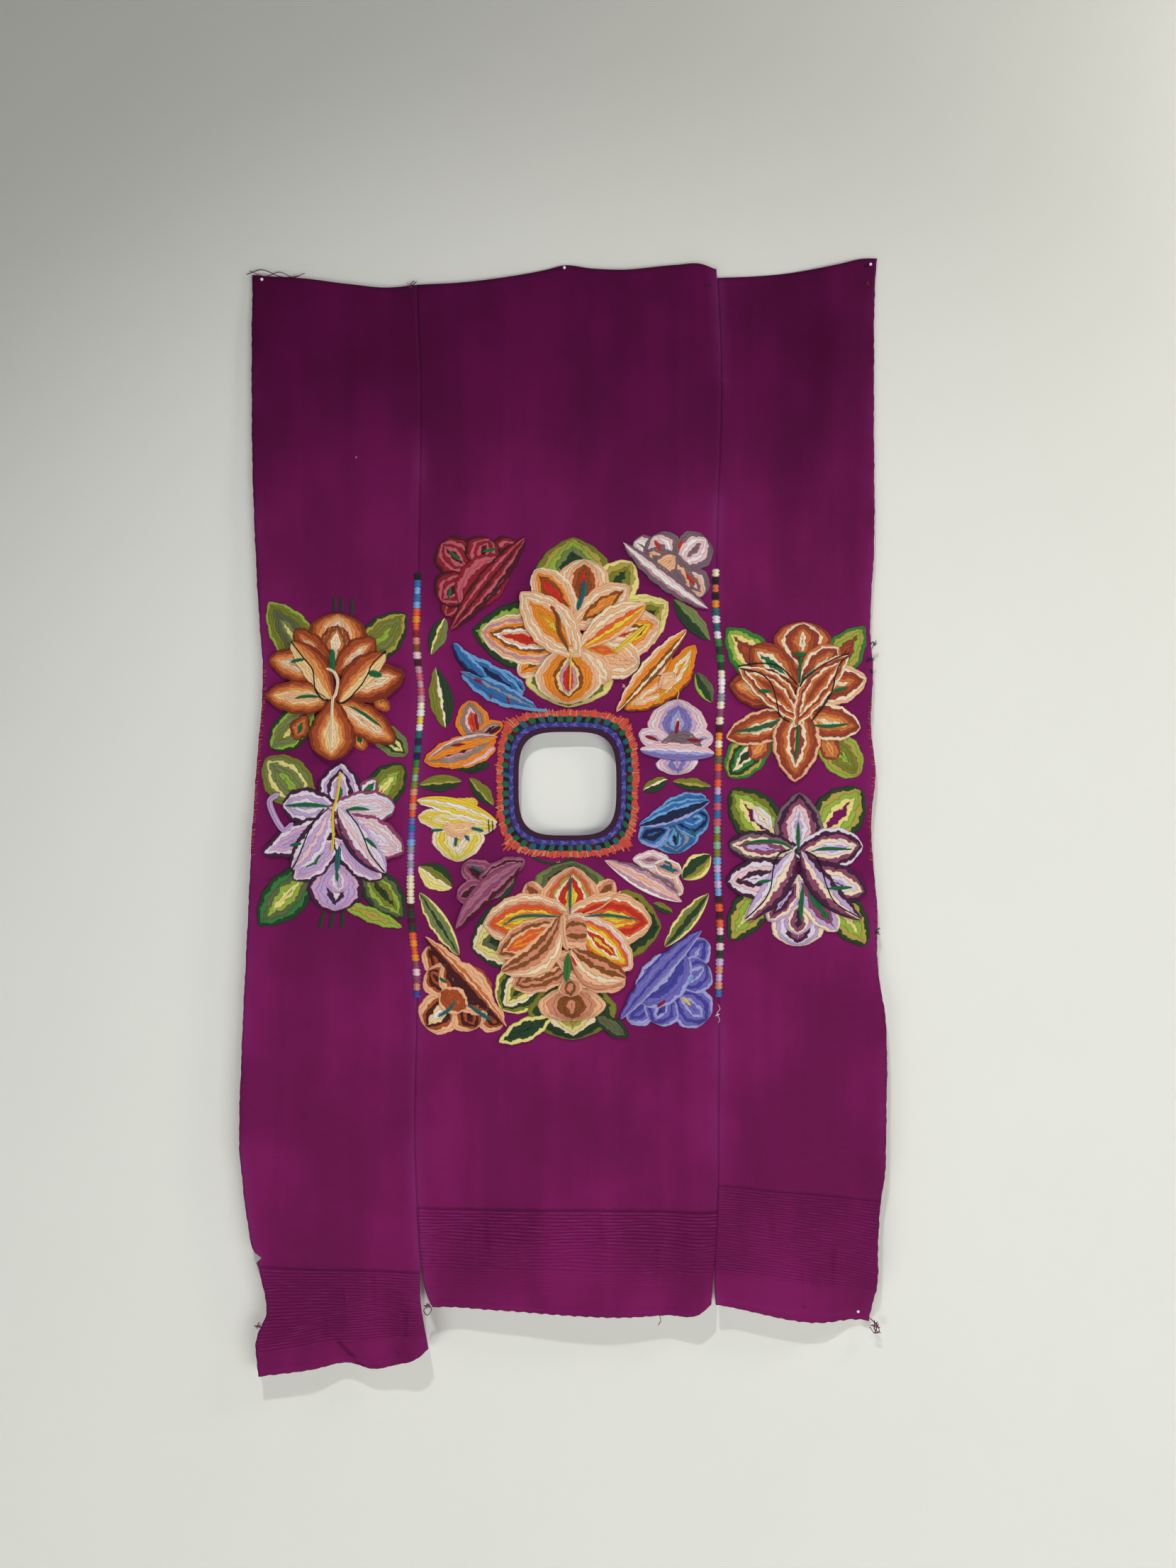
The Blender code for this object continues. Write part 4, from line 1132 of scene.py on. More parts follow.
def covers(outline: Array, points: Array) -> bool:
    """Whether any of some points lies inside a closed outline, by crossings to the right.

    Args:
        outline: (x, z) of the outline's points.
        points: (x, z) of the points.

    Returns:
        True where one lies inside.
    """
    x, z = points[:, None, 0], points[:, None, 1]
    after = np.roll(outline, -1, axis=0)
    spans = (outline[None, :, 1] > z) != (after[None, :, 1] > z)
    rise = after[:, 1] - outline[:, 1]
    share = (z - outline[None, :, 1]) / np.where(rise == 0, 1e-9, rise)[None, :]
    crossings = spans & (x < outline[None, :, 0] + share * (after[:, 0] - outline[:, 0])[None, :])
    return bool((crossings.sum(axis=1) % 2 == 1).any())


class Bands(Enum):
    """Which way a petal's bands of thread run."""

    ALONG = "round its outline"
    ACROSS = "from its left side to its right"


@dataclass
class Petal:
    """A petal or leaf worked in bands of thread that follow its outline.

    Half its width at share t of its length is sin(pi * t^widest)^fullness of the whole half,
    and bow bends its middle sideways. threads names the bands from the outline inwards, or from
    the left side to the right one where it is worked across. Its thread stands on bed, each
    band's arch adds up to arch, and the cushion from the rim inwards up to cushion.
    """

    base: tuple
    tip: tuple
    width: float
    widest: float
    fullness: float
    threads: str
    way: Bands = Bands.ALONG
    bow: float = 0.0
    seed: int = 0
    scallop: float = 0.405
    step: float = 2.1
    levels: int = 3
    bed: float = 0.7
    arch: float = 1.05
    cushion: float = 0.25

    @property
    def across(self) -> bool:
        """Whether the bands run from side to side."""
        return self.way is Bands.ACROSS

    @property
    def phase(self) -> float:
        """Where this petal's uneven stitches start."""
        return 1.7 * self.seed

    def shape(self) -> tuple[Array, Array]:
        """The petal's outline by the formula above.

        Returns:
            The outline, and the middle line from the base to the tip.
        """
        t = (1 - np.cos(math.pi * np.linspace(0, 1, 25))) / 2
        half = self.width / 2 * np.clip(np.sin(math.pi * t**self.widest), 0, 1)**self.fullness
        base, tip = np.array(self.base, float), np.array(self.tip, float)
        along = (tip - base) / np.linalg.norm(tip - base)
        across = np.array([-along[1], along[0]])
        middle = base + (tip - base) * t[:, None] + across * (self.bow * 4 * t * (1 - t))[:, None]
        left = middle + across * half[:, None]
        right = middle - across * half[:, None]
        return np.concatenate([left, right[-2:0:-1]]), middle

    def patch(self, centre: Array, sense: Array, low: float) -> Patch:
        """The petal's surface.

        Each outline point runs in towards the nearest point of the middle line, or to the point
        across, and the levels lie on the way. A foot at the outline goes down into the cloth.

        Args:
            centre: (x, z) of the flower's centre.
            sense: -1 where the flower is turned over.
            low: height of its foot above the cloth.

        Returns:
            The patch.
        """
        edge, run, foot = self.sides() if self.across else self.ringed()
        edge = self.rippled(edge, run, foot)
        depth = np.maximum(np.hypot(*(edge - foot).T), 0.01)
        share, inward, out = self.worked(run, depth, low)
        points = edge[None] + (foot - edge)[None] * (inward / depth[None, :])[..., None]
        ground = np.full((1, len(edge)), FOOT)
        points = np.concatenate([edge[None], points] + ([foot[None]] if self.across else []))
        out = np.concatenate([ground, out] + ([ground] if self.across else []))
        triangles = grid_triangles(len(points), len(edge), around=not self.across)
        kept, colour = self.coloured(triangles, len(edge),
                                     np.column_stack([points.reshape(-1, 2), out.ravel()]))
        across = np.concatenate([[0.35], share, [len(self.threads) + 0.35]])[:len(points)]
        thread_map = np.stack(np.broadcast_arrays(run[None, :], across[:, None]), axis=-1)
        flat = points.reshape(-1, 2) * sense + centre
        return Patch(np.column_stack([flat, out.ravel()]), facing(flat, triangles)[kept],
                     colour[kept], thread_map.reshape(-1, 2))

    def rippled(self, edge: Array, run: Array, foot: Array) -> Array:
        """The outline, moved in and out by four sines, less where the petal is narrow.

        Args:
            edge: (x, z) of the outline's points.
            run: how far along it each lies.
            foot: where each runs in to.

        Returns:
            The moved points.
        """
        ripple = (0.9 * np.sin(run / 1.9 + self.phase) + 0.7 * np.sin(run / 1.13 + 2 * self.phase)
                  + 2.4 * np.sin(run / 4.4 + self.phase)
                  + 0.5 * np.sin(run / 0.71 + 3 * self.phase))
        depth = np.maximum(np.hypot(*(edge - foot).T), 0.01)
        outward = (edge - foot) / depth[:, None]
        return edge + outward * (self.scallop * ripple * np.minimum(depth / 8, 1))[:, None]

    def worked(self, run: Array, depth: Array, low: float) -> tuple[Array, Array, Array]:
        """The levels, a few to each band of thread, at even distances but for their drift.

        A band is an arch, |sin|^0.7. Levels that would pass the middle line stay on it.

        Args:
            run: how far along the outline each point lies.
            depth: how far each point is from where it runs in to.
            low: height of the petal's foot above the cloth.

        Returns:
            Each level's place in bands, and how far in from the outline and how high out of the
            cloth each (level, point) lies.
        """
        bands = len(self.threads)
        count = self.levels * bands
        share = np.arange(count + 1) / self.levels
        wave = self.drift(run)
        before = np.floor(share).astype(int)
        part = (share - before)[:, None]
        wave = wave[before] * (1 - part) + wave[np.minimum(before + 1, bands)] * part
        band = (depth[None, :] if self.across else np.full((1, len(run)), depth.max())) / bands
        inward = np.clip((share[:, None] + wave) * band, 0, depth[None, :])
        arch = np.abs(np.sin(math.pi * share))[:, None]**0.7 * np.minimum(1, band / 3.5)
        rim = np.minimum(inward, depth[None, :] - inward) if self.across else inward
        out = low + self.bed + self.arch * arch + self.cushion * np.minimum(rim / 6, 1)
        there = inward >= depth[None, :] - 1e-6
        first = np.where(there.any(axis=0), there.argmax(axis=0), count)
        reached = np.minimum(np.arange(count + 1)[:, None], first[None, :])
        return share, inward, np.take_along_axis(out, reached, axis=0)

    def coloured(self, triangles: Array, around: int, solid: Array) -> tuple[Array, Array]:
        """Each triangle's colour, and whether it is kept: bare bands and flat faces are not.

        Args:
            triangles: the grid's triangles.
            around: points in each level.
            solid: (x, z, out) of each point.

        Returns:
            Whether each triangle is kept, and its linear colour.
        """
        level = triangles.min(axis=1) // around
        number = np.clip((level - 1) // self.levels, 0, len(self.threads) - 1)
        kept = np.array([letter != BARE for letter in self.threads])[number]
        corner = solid[triangles]
        normal = np.cross(corner[:, 1] - corner[:, 0], corner[:, 2] - corner[:, 0])
        kept = kept & (np.abs(normal).max(axis=1) > SMALLEST_FACE)
        return kept, Thread.row(self.threads)[number]

    def drift(self, run: Array) -> Array:
        """How far each edge between two bands wanders, as a share of a band's width.

        Each edge is a sum of three sines of its own phase; the petal's own sides stay.

        Args:
            run: how far along the outline each point lies.

        Returns:
            The drift at each (edge, point).
        """
        edge = np.arange(len(self.threads) + 1)[:, None]
        drift = (0.15 * np.sin(run / 3.1 + self.phase + 1.9 * edge)
                 + 0.11 * np.sin(run / 1.5 + 2 * self.phase + 2.7 * edge)
                 + 0.15 * np.sin(run / 8.3 + self.phase + 3.4 * edge))
        drift[0] = 0
        if self.across:
            drift[-1] = 0
        return drift

    def ringed(self) -> tuple[Array, Array, Array]:
        """The outline all round, for bands that run in to the middle line.

        Returns:
            The outline's points, how far along it each is, and the nearest place on the line.
        """
        outline, middle = self.shape()
        edge, run = resampled(outline, self.step, closed=True)
        spine, _ = resampled(middle, 1.5)
        gap = edge[:, None, :] - spine[None, :, :]
        return edge, run, spine[np.hypot(gap[..., 0], gap[..., 1]).argmin(axis=1)]

    def sides(self) -> tuple[Array, Array, Array]:
        """The two sides, for bands that run from the one to the other.

        Returns:
            The left side's points, how far along each is, and the points across on the right.
        """
        outline, middle = self.shape()
        count = len(middle)
        left, right = outline[:count], np.concatenate([outline[:1], outline[:count - 2:-1]])
        run = length_along(middle)
        at = np.linspace(0.3, run[-1] - 0.3, max(8, int(run[-1] / self.step)))
        line = [np.interp(at, run, side[:, i]) for side in (left, right) for i in (0, 1)]
        return np.stack(line[:2], axis=-1), at, np.stack(line[2:], axis=-1)


@dataclass
class Line:
    """A line of stitches: a half-round bead of thread along a path, thinner at its ends, or
    shaped like a lens, sin^0.6 of its length."""

    knots: Rows
    width: float
    thread: str
    height: float = 1.0
    taper: float = 0.35
    lens: bool = False
    step: float = 1.6

    def patch(self, centre: Array, sense: Array, low: float) -> Patch:
        """The line's surface: half rounds from side to side at even steps along the path.

        Args:
            centre: (x, z) of the flower's centre.
            sense: -1 where the flower is turned over.
            low: height of the thread's foot above the cloth.

        Returns:
            The patch.
        """
        path, run = resampled(smooth_line(np.array(self.knots, float)), self.step)
        path = path * sense + centre
        ahead = np.gradient(path, axis=0)
        ahead = ahead / np.maximum(np.hypot(*ahead.T), 1e-9)[:, None]
        side = np.stack([-ahead[:, 1], ahead[:, 0]], axis=-1)
        t = np.linspace(0, 1, len(path))
        swell = (np.sin(math.pi * t)**0.6 if self.lens
                 else np.clip(np.minimum(t, 1 - t) * run[-1] / self.width + self.taper, 0, 1))
        half = self.width / 2 * swell * (1 + 0.10 * np.sin(run * 1.9))
        angle = np.linspace(0, math.pi, 6)
        across = np.cos(angle)
        points = path[:, None, :] + side[:, None, :] * (half[:, None] * across)[..., None]
        out = np.where(np.sin(angle) > RIM, low + self.height * np.sin(angle) * swell[:, None],
                       FOOT)
        triangles = grid_triangles(len(path), len(angle))
        colour = np.repeat(Thread.row(self.thread), len(triangles), axis=0)
        thread_map = np.stack(np.broadcast_arrays(run[:, None], 0.5 * across[None, :]), axis=-1)
        flat = points.reshape(-1, 2)
        return Patch(np.column_stack([flat, out.ravel()]), facing(flat, triangles), colour,
                     thread_map.reshape(-1, 2))


@dataclass
class Motif:
    """A flower or leaf: petals from the back to the front, with lines of stitches on them.

    petals and lines are rows as the table of flowers gives them. tuck draws the base of a long
    petal back under its neighbours, by a share of its length.
    """

    node: str
    centre: tuple
    petals: Sequence[tuple]
    lines: Sequence[tuple] = ()
    sense: tuple = (1, 1)
    slot: str = "petal_thread"
    layer: float = 0.8
    tuck: float = 0.0
    long_petal: float = 55.0

    def petal(self, row: tuple, number: int) -> Petal:
        """A petal, tucked where it is long and its bands run round its outline.

        Args:
            row: the petal's row.
            number: its number in the motif.

        Returns:
            The petal.
        """
        petal = Petal(row[0:2], row[2:4], *row[4:], seed=number)
        base, tip = np.array(petal.base, float), np.array(petal.tip, float)
        if not petal.across and np.hypot(*(tip - base)) > self.long_petal:
            petal.base = tuple(base - self.tuck * (tip - base))
        return petal

    def patches(self) -> list[Patch]:
        """Works the petals, each standing on the highest one that it overlaps, and then the
        lines, each on the highest petal under it.

        Returns:
            The patches from the back to the front.
        """
        centre, sense = np.array(self.centre, float), np.array(self.sense, float)
        patches, shapes, heights = [], [], []
        for number, row in enumerate(self.petals):
            petal = self.petal(row, number)
            outline, middle = petal.shape()
            probes = np.concatenate([outline, middle])
            under = [height for shape, height in zip(shapes, heights)
                     if covers(shape, probes) or covers(outline, shape)]
            shapes.append(outline)
            heights.append(max(under) + self.layer if under else 0.0)
            patches.append(petal.patch(centre, sense, heights[-1]))
        for width, thread, rise, lens, knots in self.lines:
            path = smooth_line(np.array(knots, float))
            under = [height for shape, height in zip(shapes, heights) if covers(shape, path)]
            low = (max(under) + 1.0 if under else 0.3) + rise
            patches.append(Line(knots, width, thread, lens=lens).patch(centre, sense, low))
        return patches

    def build(self) -> Object:
        """Builds the motif as one piece."""
        finish = LEAF_THREAD if self.slot == LEAF else PETAL_THREAD
        obj = stitched(self.node + "_threads", Patch.joined(self.patches()), finish)
        return handed(obj, self.node)


# Flowers: rows of base x and z, tip x and z, width, widest (above 1 towards the tip), fullness
# (0.5 round, 1 pointed), the bands, and where it has them ACROSS or ALONG and the bow. Lines of
# stitches are rows of width, thread, rise, whether they are lens-shaped, and their knots.
ALONG, ACROSS = Bands
BLACK_LINE = (2.4, "k", 0.5, False)
VEIN = (6.5, "e", 0.4, True)

FLOWERS = [
    Motif("flower_left_upper", (-362, -687), [
        (-45, 70, -107, 156, 66, 0.9, 0.7, "lvvxxsY"), (45, 70, 110, 139, 64, 1.0, 0.7, "GHvsvl"),
        (-40, -20, -104, -76, 58, 1.1, 0.6, "GlssvY"), (60, -42, 112, -86, 42, 1.2, 0.5, "ssGYe"),
        (-45, -22, -64, -62, 34, 1.2, 0.6, "DROe"), (32, -35, 42, -80, 30, 1.2, 0.6, "ROAe"),
        (58, 8, 84, -16, 24, 1.2, 0.6, "ROA"), (0, 60, 5, 138, 94, 1.5, 0.5, "DROAPPcR"),
        (-4, 48, 3, 118, 50, 1.5, 0.5, "DRnOcc"), (-4, 44, -64, 112, 44, 1.3, 0.6, "DRROPc"),
        (2, 44, 62, 98, 46, 1.3, 0.6, "DRROPc"), (-15, 45, -106, 66, 54, 1.1, 0.6, "DROAPcP"),
        (-5, 2, -112, 8, 54, 1.1, 0.6, "DROAQPQ"), (10, 15, 109, 42, 60, 1.1, 0.6, "DDROPcQ"),
        (5, -5, 94, -66, 52, 1.1, 0.6, "DROAPcP"), (-2, 0, -6, -95, 72, 1.7, 0.6, "DRROAQQc"),
        (-4, -2, -67, 92, 44, 1.2, 0.6, "QQQAAORD", ACROSS, -8),
        (6, -4, 78, 74, 44, 1.2, 0.6, "DRROAQQQ", ACROSS, 8),
    ], [
        (*VEIN, [(-70, 60), (-57, 63), (-44, 64)]), (*VEIN, [(-66, 3), (-44, 6), (-20, 5)]),
        (13, "e", 0.4, True, [(50, 43), (62, 42), (74, 39)]),
        (*VEIN, [(17, -6), (46, -22), (78, -46)]), (8.5, "e", 0.5, False, [(-4, 80), (-4, 42)]),
        (*BLACK_LINE, [(-69, 93), (-50, 68), (-34, 47), (-30, 18), (-18, 1), (-4, 0)]),
        (*BLACK_LINE, [(80, 78), (59, 57), (51, 39), (37, 18), (15, -4), (2, -1)]),
        (5, "c", 0.9, False,
         [(-13, 50), (-1, 44), (5, 28), (2, 10), (-3, -2), (-4, -40), (-5, -76)]),
        (5, "G", 0.4, False, [(-2, 164), (-2, 139)]), (5, "G", 0.4, False, [(9, 164), (9, 139)]),
        (6, "G", 0.4, False, [(25, 162), (25, 136)]),
    ], tuck=0.14),
    Motif("flower_left_lower", (-362, -861), [
        (-45, 15, -112, 82, 76, 1.1, 0.6, "vsYssl"), (50, 5, 107, 72, 60, 1.1, 0.6, "GvvlY"),
        (-40, -95, -122, -182, 70, 1.1, 0.7, "GgxlY"), (45, -95, 107, -172, 58, 1.1, 0.7, "GxlvG"),
        (15, -150, 104, -186, 24, 1.1, 0.6, "lH"), (0, -90, 0, -160, 88, 1.2, 0.5, "u3LLuW"),
        (4, -90, 5, -131, 44, 1.2, 0.5, "L3WL"), (0, -50, -66, -110, 50, 1.2, 0.6, "uW3LLe"),
        (5, -50, 73, -110, 50, 1.2, 0.6, "uW3LLe"), (38, 20, 64, 48, 30, 1.2, 0.5, "mWe"),
        (4, 0, 9, 76, 70, 0.9, 0.7, "uWLuWLe"), (0, 4, -84, 9, 58, 1.4, 0.5, "uWLWL"),
        (0, 4, 94, 5, 54, 1.4, 0.5, "mWWhWW"), (-10, -25, -115, -68, 52, 0.9, 0.7, "uW3LL"),
        (10, -20, 108, -66, 64, 1.1, 0.6, "mhWhWW"), (-8, 4, -68, -93, 44, 1.3, 0.6, "WLhLWu", ACROSS, 4),
        (4, 4, 79, -99, 46, 1.1, 0.6, "LWWhWmu", ACROSS, -4),
    ], [
        (8, "e", 0.4, True, [(-80, 7), (-44, 9), (-8, 6)]),
        (*VEIN, [(16, 0), (34, 3), (54, 1)]), (*VEIN, [(-72, -55), (-50, -52)]),
        (7, "e", 0.4, True, [(45, -42), (56, -51), (66, -61)]),
        (9, "L", 0.4, False, [(-90, 27), (-105, 11), (-84, -30), (-66, -20)]),
        (*BLACK_LINE, [(-17, 3), (-35, -20), (-50, -55), (-59, -77), (-69, -94)]),
        (*BLACK_LINE, [(18, 0), (37, -26), (48, -51), (56, -70), (78, -98)]),
        (10, "t", 0.4, True, [(8, -52), (4, -76), (2, -102)]),
        (7, "e", 0.4, True, [(2, -94), (3, -114)]),
        (4.5, "y", 0.9, False, [(8, 60), (3, 22), (-4, -5), (-3, -39), (-5, -64)]),
        (6, "G", 0.4, False, [(-18, -158), (-26, -188)]),
        (6, "G", 0.4, False, [(-4, -160), (-9, -188)]),
        (6, "G", 0.4, False, [(10, -160), (9, -188)]),
    ], tuck=0.14),
    Motif("flower_right_upper", (371, -664), [
        (-45, 15, -114, 92, 68, 0.9, 0.7, "glYBR"), (45, 15, 105, 95, 62, 0.9, 0.7, "gHlBR"),
        (-50, -70, -110, -144, 62, 1.2, 0.5, "gHGgcG"), (40, -75, 96, -142, 62, 1.2, 0.5, "lHvvl"),
        (-48, -78, -74, -116, 34, 1.2, 0.5, "BOA"), (38, -78, 60, -116, 34, 1.2, 0.5, "BOA"),
        (5, 30, 8, 102, 92, 1.5, 0.5, "BOcBROc"), (-5, 5, -75, 62, 62, 1.3, 0.6, "BROce"),
        (5, 5, 64, 62, 56, 1.3, 0.6, "OcBROc"), (-15, -8, -110, 2, 66, 1.1, 0.6, "bRBOAPc"),
        (15, -8, 108, 12, 64, 1.1, 0.6, "PcBROc"), (-5, -50, -114, -82, 54, 1.1, 0.6, "PBROcB"),
        (5, -50, 98, -66, 58, 1.1, 0.6, "cBROAc"), (-2, -45, -6, -152, 76, 0.9, 0.7, "PBROcBA"),
        (-4, -52, -95, 29, 48, 1.1, 0.7, "cOBcORB", ALONG, -10),
        (3, -52, 78, 49, 48, 1.1, 0.7, "cOBcORB", ALONG, 10),
    ], [
        (*VEIN, [(7, 10), (18, 19), (28, 27)]), (8, "e", 0.4, True, [(-66, -8), (-41, -9)]),
        (*VEIN, [(52, -9), (78, -3)]), (*VEIN, [(-26, -52), (-60, -66), (-101, -73)]),
        (*VEIN, [(16, -62), (48, -64), (81, -60)]),
        (6, "e", 0.4, True, [(-2, -56), (-2, -90), (-7, -120)]),
        (*BLACK_LINE, [(-95, 31), (-62, 36), (-32, 32), (-12, 14), (0, 0)]),
        (*BLACK_LINE, [(-94, 28), (-62, 20), (-44, 4), (-36, -20), (-30, -46), (-14, -58)]),
        (*BLACK_LINE, [(80, 51), (57, 43), (30, 27), (8, 9), (2, -2)]),
        (*BLACK_LINE, [(80, 48), (66, 37), (58, 17), (52, -9), (38, -33), (20, -56)]),
        (7, "e", 0.8, False, [(-7, 50), (13, 50)]), (5, "e", 0.8, False, [(4, 48), (1, 4)]),
    ], tuck=0.14),
    Motif("flower_right_lower", (371, -929), [
        (-30, 15, -106, 100, 76, 1.1, 0.6, "GvlY."), (30, 20, 100, 102, 80, 1.1, 0.6, "GHlY."),
        (-45, -45, -108, -138, 60, 1.1, 0.6, "GHlY"), (50, -60, 108, -146, 60, 1.1, 0.6, "GHlY"),
        (-42, 38, -70, 72, 24, 1.2, 0.5, "Wc"), (0, -85, 0, -148, 86, 1.2, 0.5, "cLWumL"),
        (0, -80, 0, -130, 46, 1.2, 0.5, "Lcmu"), (0, -45, -48, -108, 44, 1.2, 0.6, "LcmuL"),
        (4, -45, 62, -124, 50, 1.2, 0.6, "cLme"), (0, 0, 2, 96, 80, 0.9, 0.7, "zumhWL"),
        (-2, 3, -111, 14, 54, 1.3, 0.6, "uzcmL"), (2, 3, 102, 12, 66, 1.3, 0.6, "WumcWL"),
        (-15, -35, -114, -46, 66, 1.1, 0.6, "uWhuW"), (15, -35, 108, -62, 62, 1.1, 0.6, "umcWL"),
        (-6, 3, -84, -108, 42, 0.9, 0.7, "umcWL", ACROSS, 8),
        (4, 3, 100, -106, 42, 0.9, 0.7, "uLcmu", ACROSS, -12),
    ], [
        (*VEIN, [(0, 50), (0, -2)]), (*VEIN, [(-90, 12), (-62, 19), (-26, 16), (-8, 5)]),
        (*VEIN, [(16, 1), (40, 7), (87, 6)]), (7, "e", 0.4, True, [(-66, -46), (-43, -43)]),
        (7, "e", 0.4, True, [(43, -56), (85, -54)]),
        (*BLACK_LINE, [(-13, 6), (-31, -2), (-40, -24), (-44, -53), (-56, -77), (-84, -104)]),
        (*BLACK_LINE, [(10, 3), (29, -7), (38, -29), (45, -53), (60, -80), (100, -104)]),
        (9, "e", 0.5, True, [(8, -48), (5, -78), (4, -108)]),
    ], tuck=0.14),
    Motif("flower_centre_upper", (19, -600), [
        (-4, 85, -6, 172, 118, 0.9, 0.7, "vHlsGG"), (-40, 12, -166, 23, 108, 0.9, 0.8, "GllsG"),
        (45, 70, 88, 133, 70, 1.0, 0.6, "YHvG"), (50, 10, 146, 69, 88, 1.1, 0.8, "YYHvGG"),
        (46, -8, 100, -26, 56, 0.9, 0.6, "YHGG"), (-10, -25, -14, -98, 140, 1.0, 0.7, "YvGGG"),
        (-46, -12, -92, -46, 40, 1.2, 0.5, "cPon"), (10, 55, 13, 137, 84, 1.4, 0.5, "PcPPRnr"),
        (-6, 45, -66, 120, 62, 1.3, 0.6, "cPPonrr"), (0, 34, 84, 94, 58, 1.2, 0.6, "PPcPnoA"),
        (-18, 0, -152, 22, 80, 1.1, 0.6, "cPqPonwPrr"), (12, -6, 133, 38, 84, 1.2, 0.6, "PcPPoyncE"),
        (14, -6, 100, -30, 70, 1.3, 0.5, "cPcPPP"), (8, -8, 52, -58, 46, 1.3, 0.5, "PPcP"),
        (-12, -4, -13, -93, 106, 1.4, 0.6, "cPPooonQqrr"), (14, -2, 66, -12, 22, 1.0, 0.5, "PTEo"),
        (-3, -6, -88, 84, 74, 1.0, 0.7, "PcPcPooTy"),
        (5, -6, 110, 65, 48, 1.1, 0.7, "cPcPEyoP", ACROSS, 6),
    ], [
        (9, "t", 0.6, False, [(13, 104), (11, 84), (2, 56)]),
        (10, "y", 0.5, True, [(112, 34), (90, 14), (60, -12)]),
        (4, "c", 0.6, False, [(-33, 62), (-20, 44), (-15, 22), (-9, 0)]),
        (10, "n", 0.6, True, [(-42, 62), (-30, 46), (-27, 22), (-16, 0), (-11, -12)]),
        (6, "r", 0.5, True, [(-42, 62), (-33, 56)]),
        (3.0, "y", 0.6, False, [(-8, -8), (-9, -40), (-10, -70)]),
    ], tuck=0.14),
    Motif("flower_centre_lower", (6, -1029), [
        (2, 20, 8, 87, 120, 1.0, 0.7, "sxGvG"), (-50, -18, -154, -51, 112, 1.0, 0.7, "GcYYxGG"),
        (56, -12, 148, -18, 112, 0.9, 0.7, "vGGGG"), (-40, -72, -106, -149, 84, 1.2, 0.6, "YvGcYvG"),
        (5, -108, 8, -196, 142, 1.2, 0.6, "vGGcYHH"), (-36, -166, -110, -200, 36, 1.0, 0.7, "YGG"),
        (48, -160, 95, -192, 28, 1.1, 0.6, "Gxx"), (5, -112, 6, -166, 108, 1.2, 0.4, "PPSSnnS"),
        (9, -70, -88, -112, 56, 1.1, 0.5, "PSnSnP"), (-5, -70, 90, -110, 58, 1.1, 0.5, "PPSnSn"),
        (3, -100, 4, -128, 40, 0.9, 0.6, "PSnS"), (-44, 22, -66, 52, 34, 1.2, 0.5, "PSn"),
        (46, 24, 72, 56, 34, 1.2, 0.5, "PSn"), (2, 0, 9, 79, 98, 0.8, 0.7, "PPSEHcrryy"),
        (-8, 0, -134, -14, 86, 1.1, 0.6, "PcPSEEyoyy"), (8, 0, 133, -10, 88, 1.2, 0.6, "PPcErrEyoy"),
        (-12, -12, -112, -61, 58, 1.2, 0.6, "PSnPEoE"), (12, -8, 101, -84, 70, 1.1, 0.6, "PchEoycry"),
        (30, -28, -4, -28, 54, 1.0, 0.2, "PPSnSSnS", ACROSS),
        (4, -52, 92, -98, 54, 1.1, 0.6, "nSnPcPS", ACROSS, -14),
        (-12, 2, -104, -88, 54, 1.2, 0.5, "PcPSnSnP", ACROSS, 24),
    ], [
        (5, "t", 0.5, True, [(4, 66), (3, 30), (3, 2)]),
        (5, "t", 0.5, True, [(-104, -15), (-74, 0), (-12, 0)]),
        (5, "t", 0.5, True, [(20, -1), (60, 2), (112, -5)]),
        (5, "r", 0.5, True, [(5, -62), (14, -80)]),
        (14, "g", 0.6, True, [(0, -58), (-1, -82), (-3, -106)]),
        (3, "P", 0.5, False, [(26, 4), (52, 14), (84, 40)]),
        (11, "P", 0.5, False, [(-8, 2), (-8, -20), (-5, -40), (-1, -54)]),
    ], tuck=0.14),
    Motif("flower_corner_upper_left", (-202, -430), [
        (62, 100, 118, 44, 24, 1.0, 0.6, "GG"), (54, 54, 7, 8, 66, 1.2, 0.38, "dCpCpd"),
        (84, 36, 127, 5, 46, 1.1, 0.5, "dCpCd"), (62, 46, 84, 1, 62, 1.1, 0.42, "dCpCpd"),
        (40, 82, 13, 124, 42, 1.1, 0.5, "dCpCd"), (46, 60, 6, 100, 64, 1.1, 0.42, "dCpCpd"),
        (36, 104, 106, 32, 74, 1.0, 0.45, "CppCCd"),
        (22, 145, 140, -1, 40, 1.0, 0.7, "ddpCdCpCd", ACROSS),
    ], [
        (6, "e", 0.4, True, [(18, 20), (38, 36)]), (6, "e", 0.4, True, [(72, 22), (96, 16)]),
        (6, "e", 0.4, True, [(22, 76), (18, 98)]),
    ], sense=(1, -1)),
    Motif("flower_corner_upper_right", (231, -424), [
        (50, 48, 5, 6, 64, 1.2, 0.38, "zzhwhz"), (82, 32, 121, 11, 40, 1.1, 0.5, "zhwwz"),
        (64, 42, 90, 2, 62, 1.1, 0.42, "zzhwhz"), (44, 56, 10, 97, 53, 1.1, 0.42, "zzhPzh"),
        (28, 86, 100, 26, 56, 1.0, 0.45, "zzPzz"), (54, 34, 84, 60, 36, 1.0, 0.5, "zPPP"),
        (3, 118, 138, 13, 30, 1.0, 0.7, "zzqwwhzz", ACROSS, 5),
    ], [
        (6, "r", 0.4, False, [(38, 62), (24, 80)]), (6, "r", 0.4, False, [(50, 24), (44, 8)]),
        (6, "r", 0.4, False, [(78, 26), (88, 10)]),
    ], sense=(-1, -1)),
    Motif("flower_corner_lower_left", (-226, -1210), [
        (64, 104, 110, 64, 26, 1.0, 0.5, "ROdG"), (54, 52, 6, 6, 68, 1.2, 0.38, "PPRdQw"),
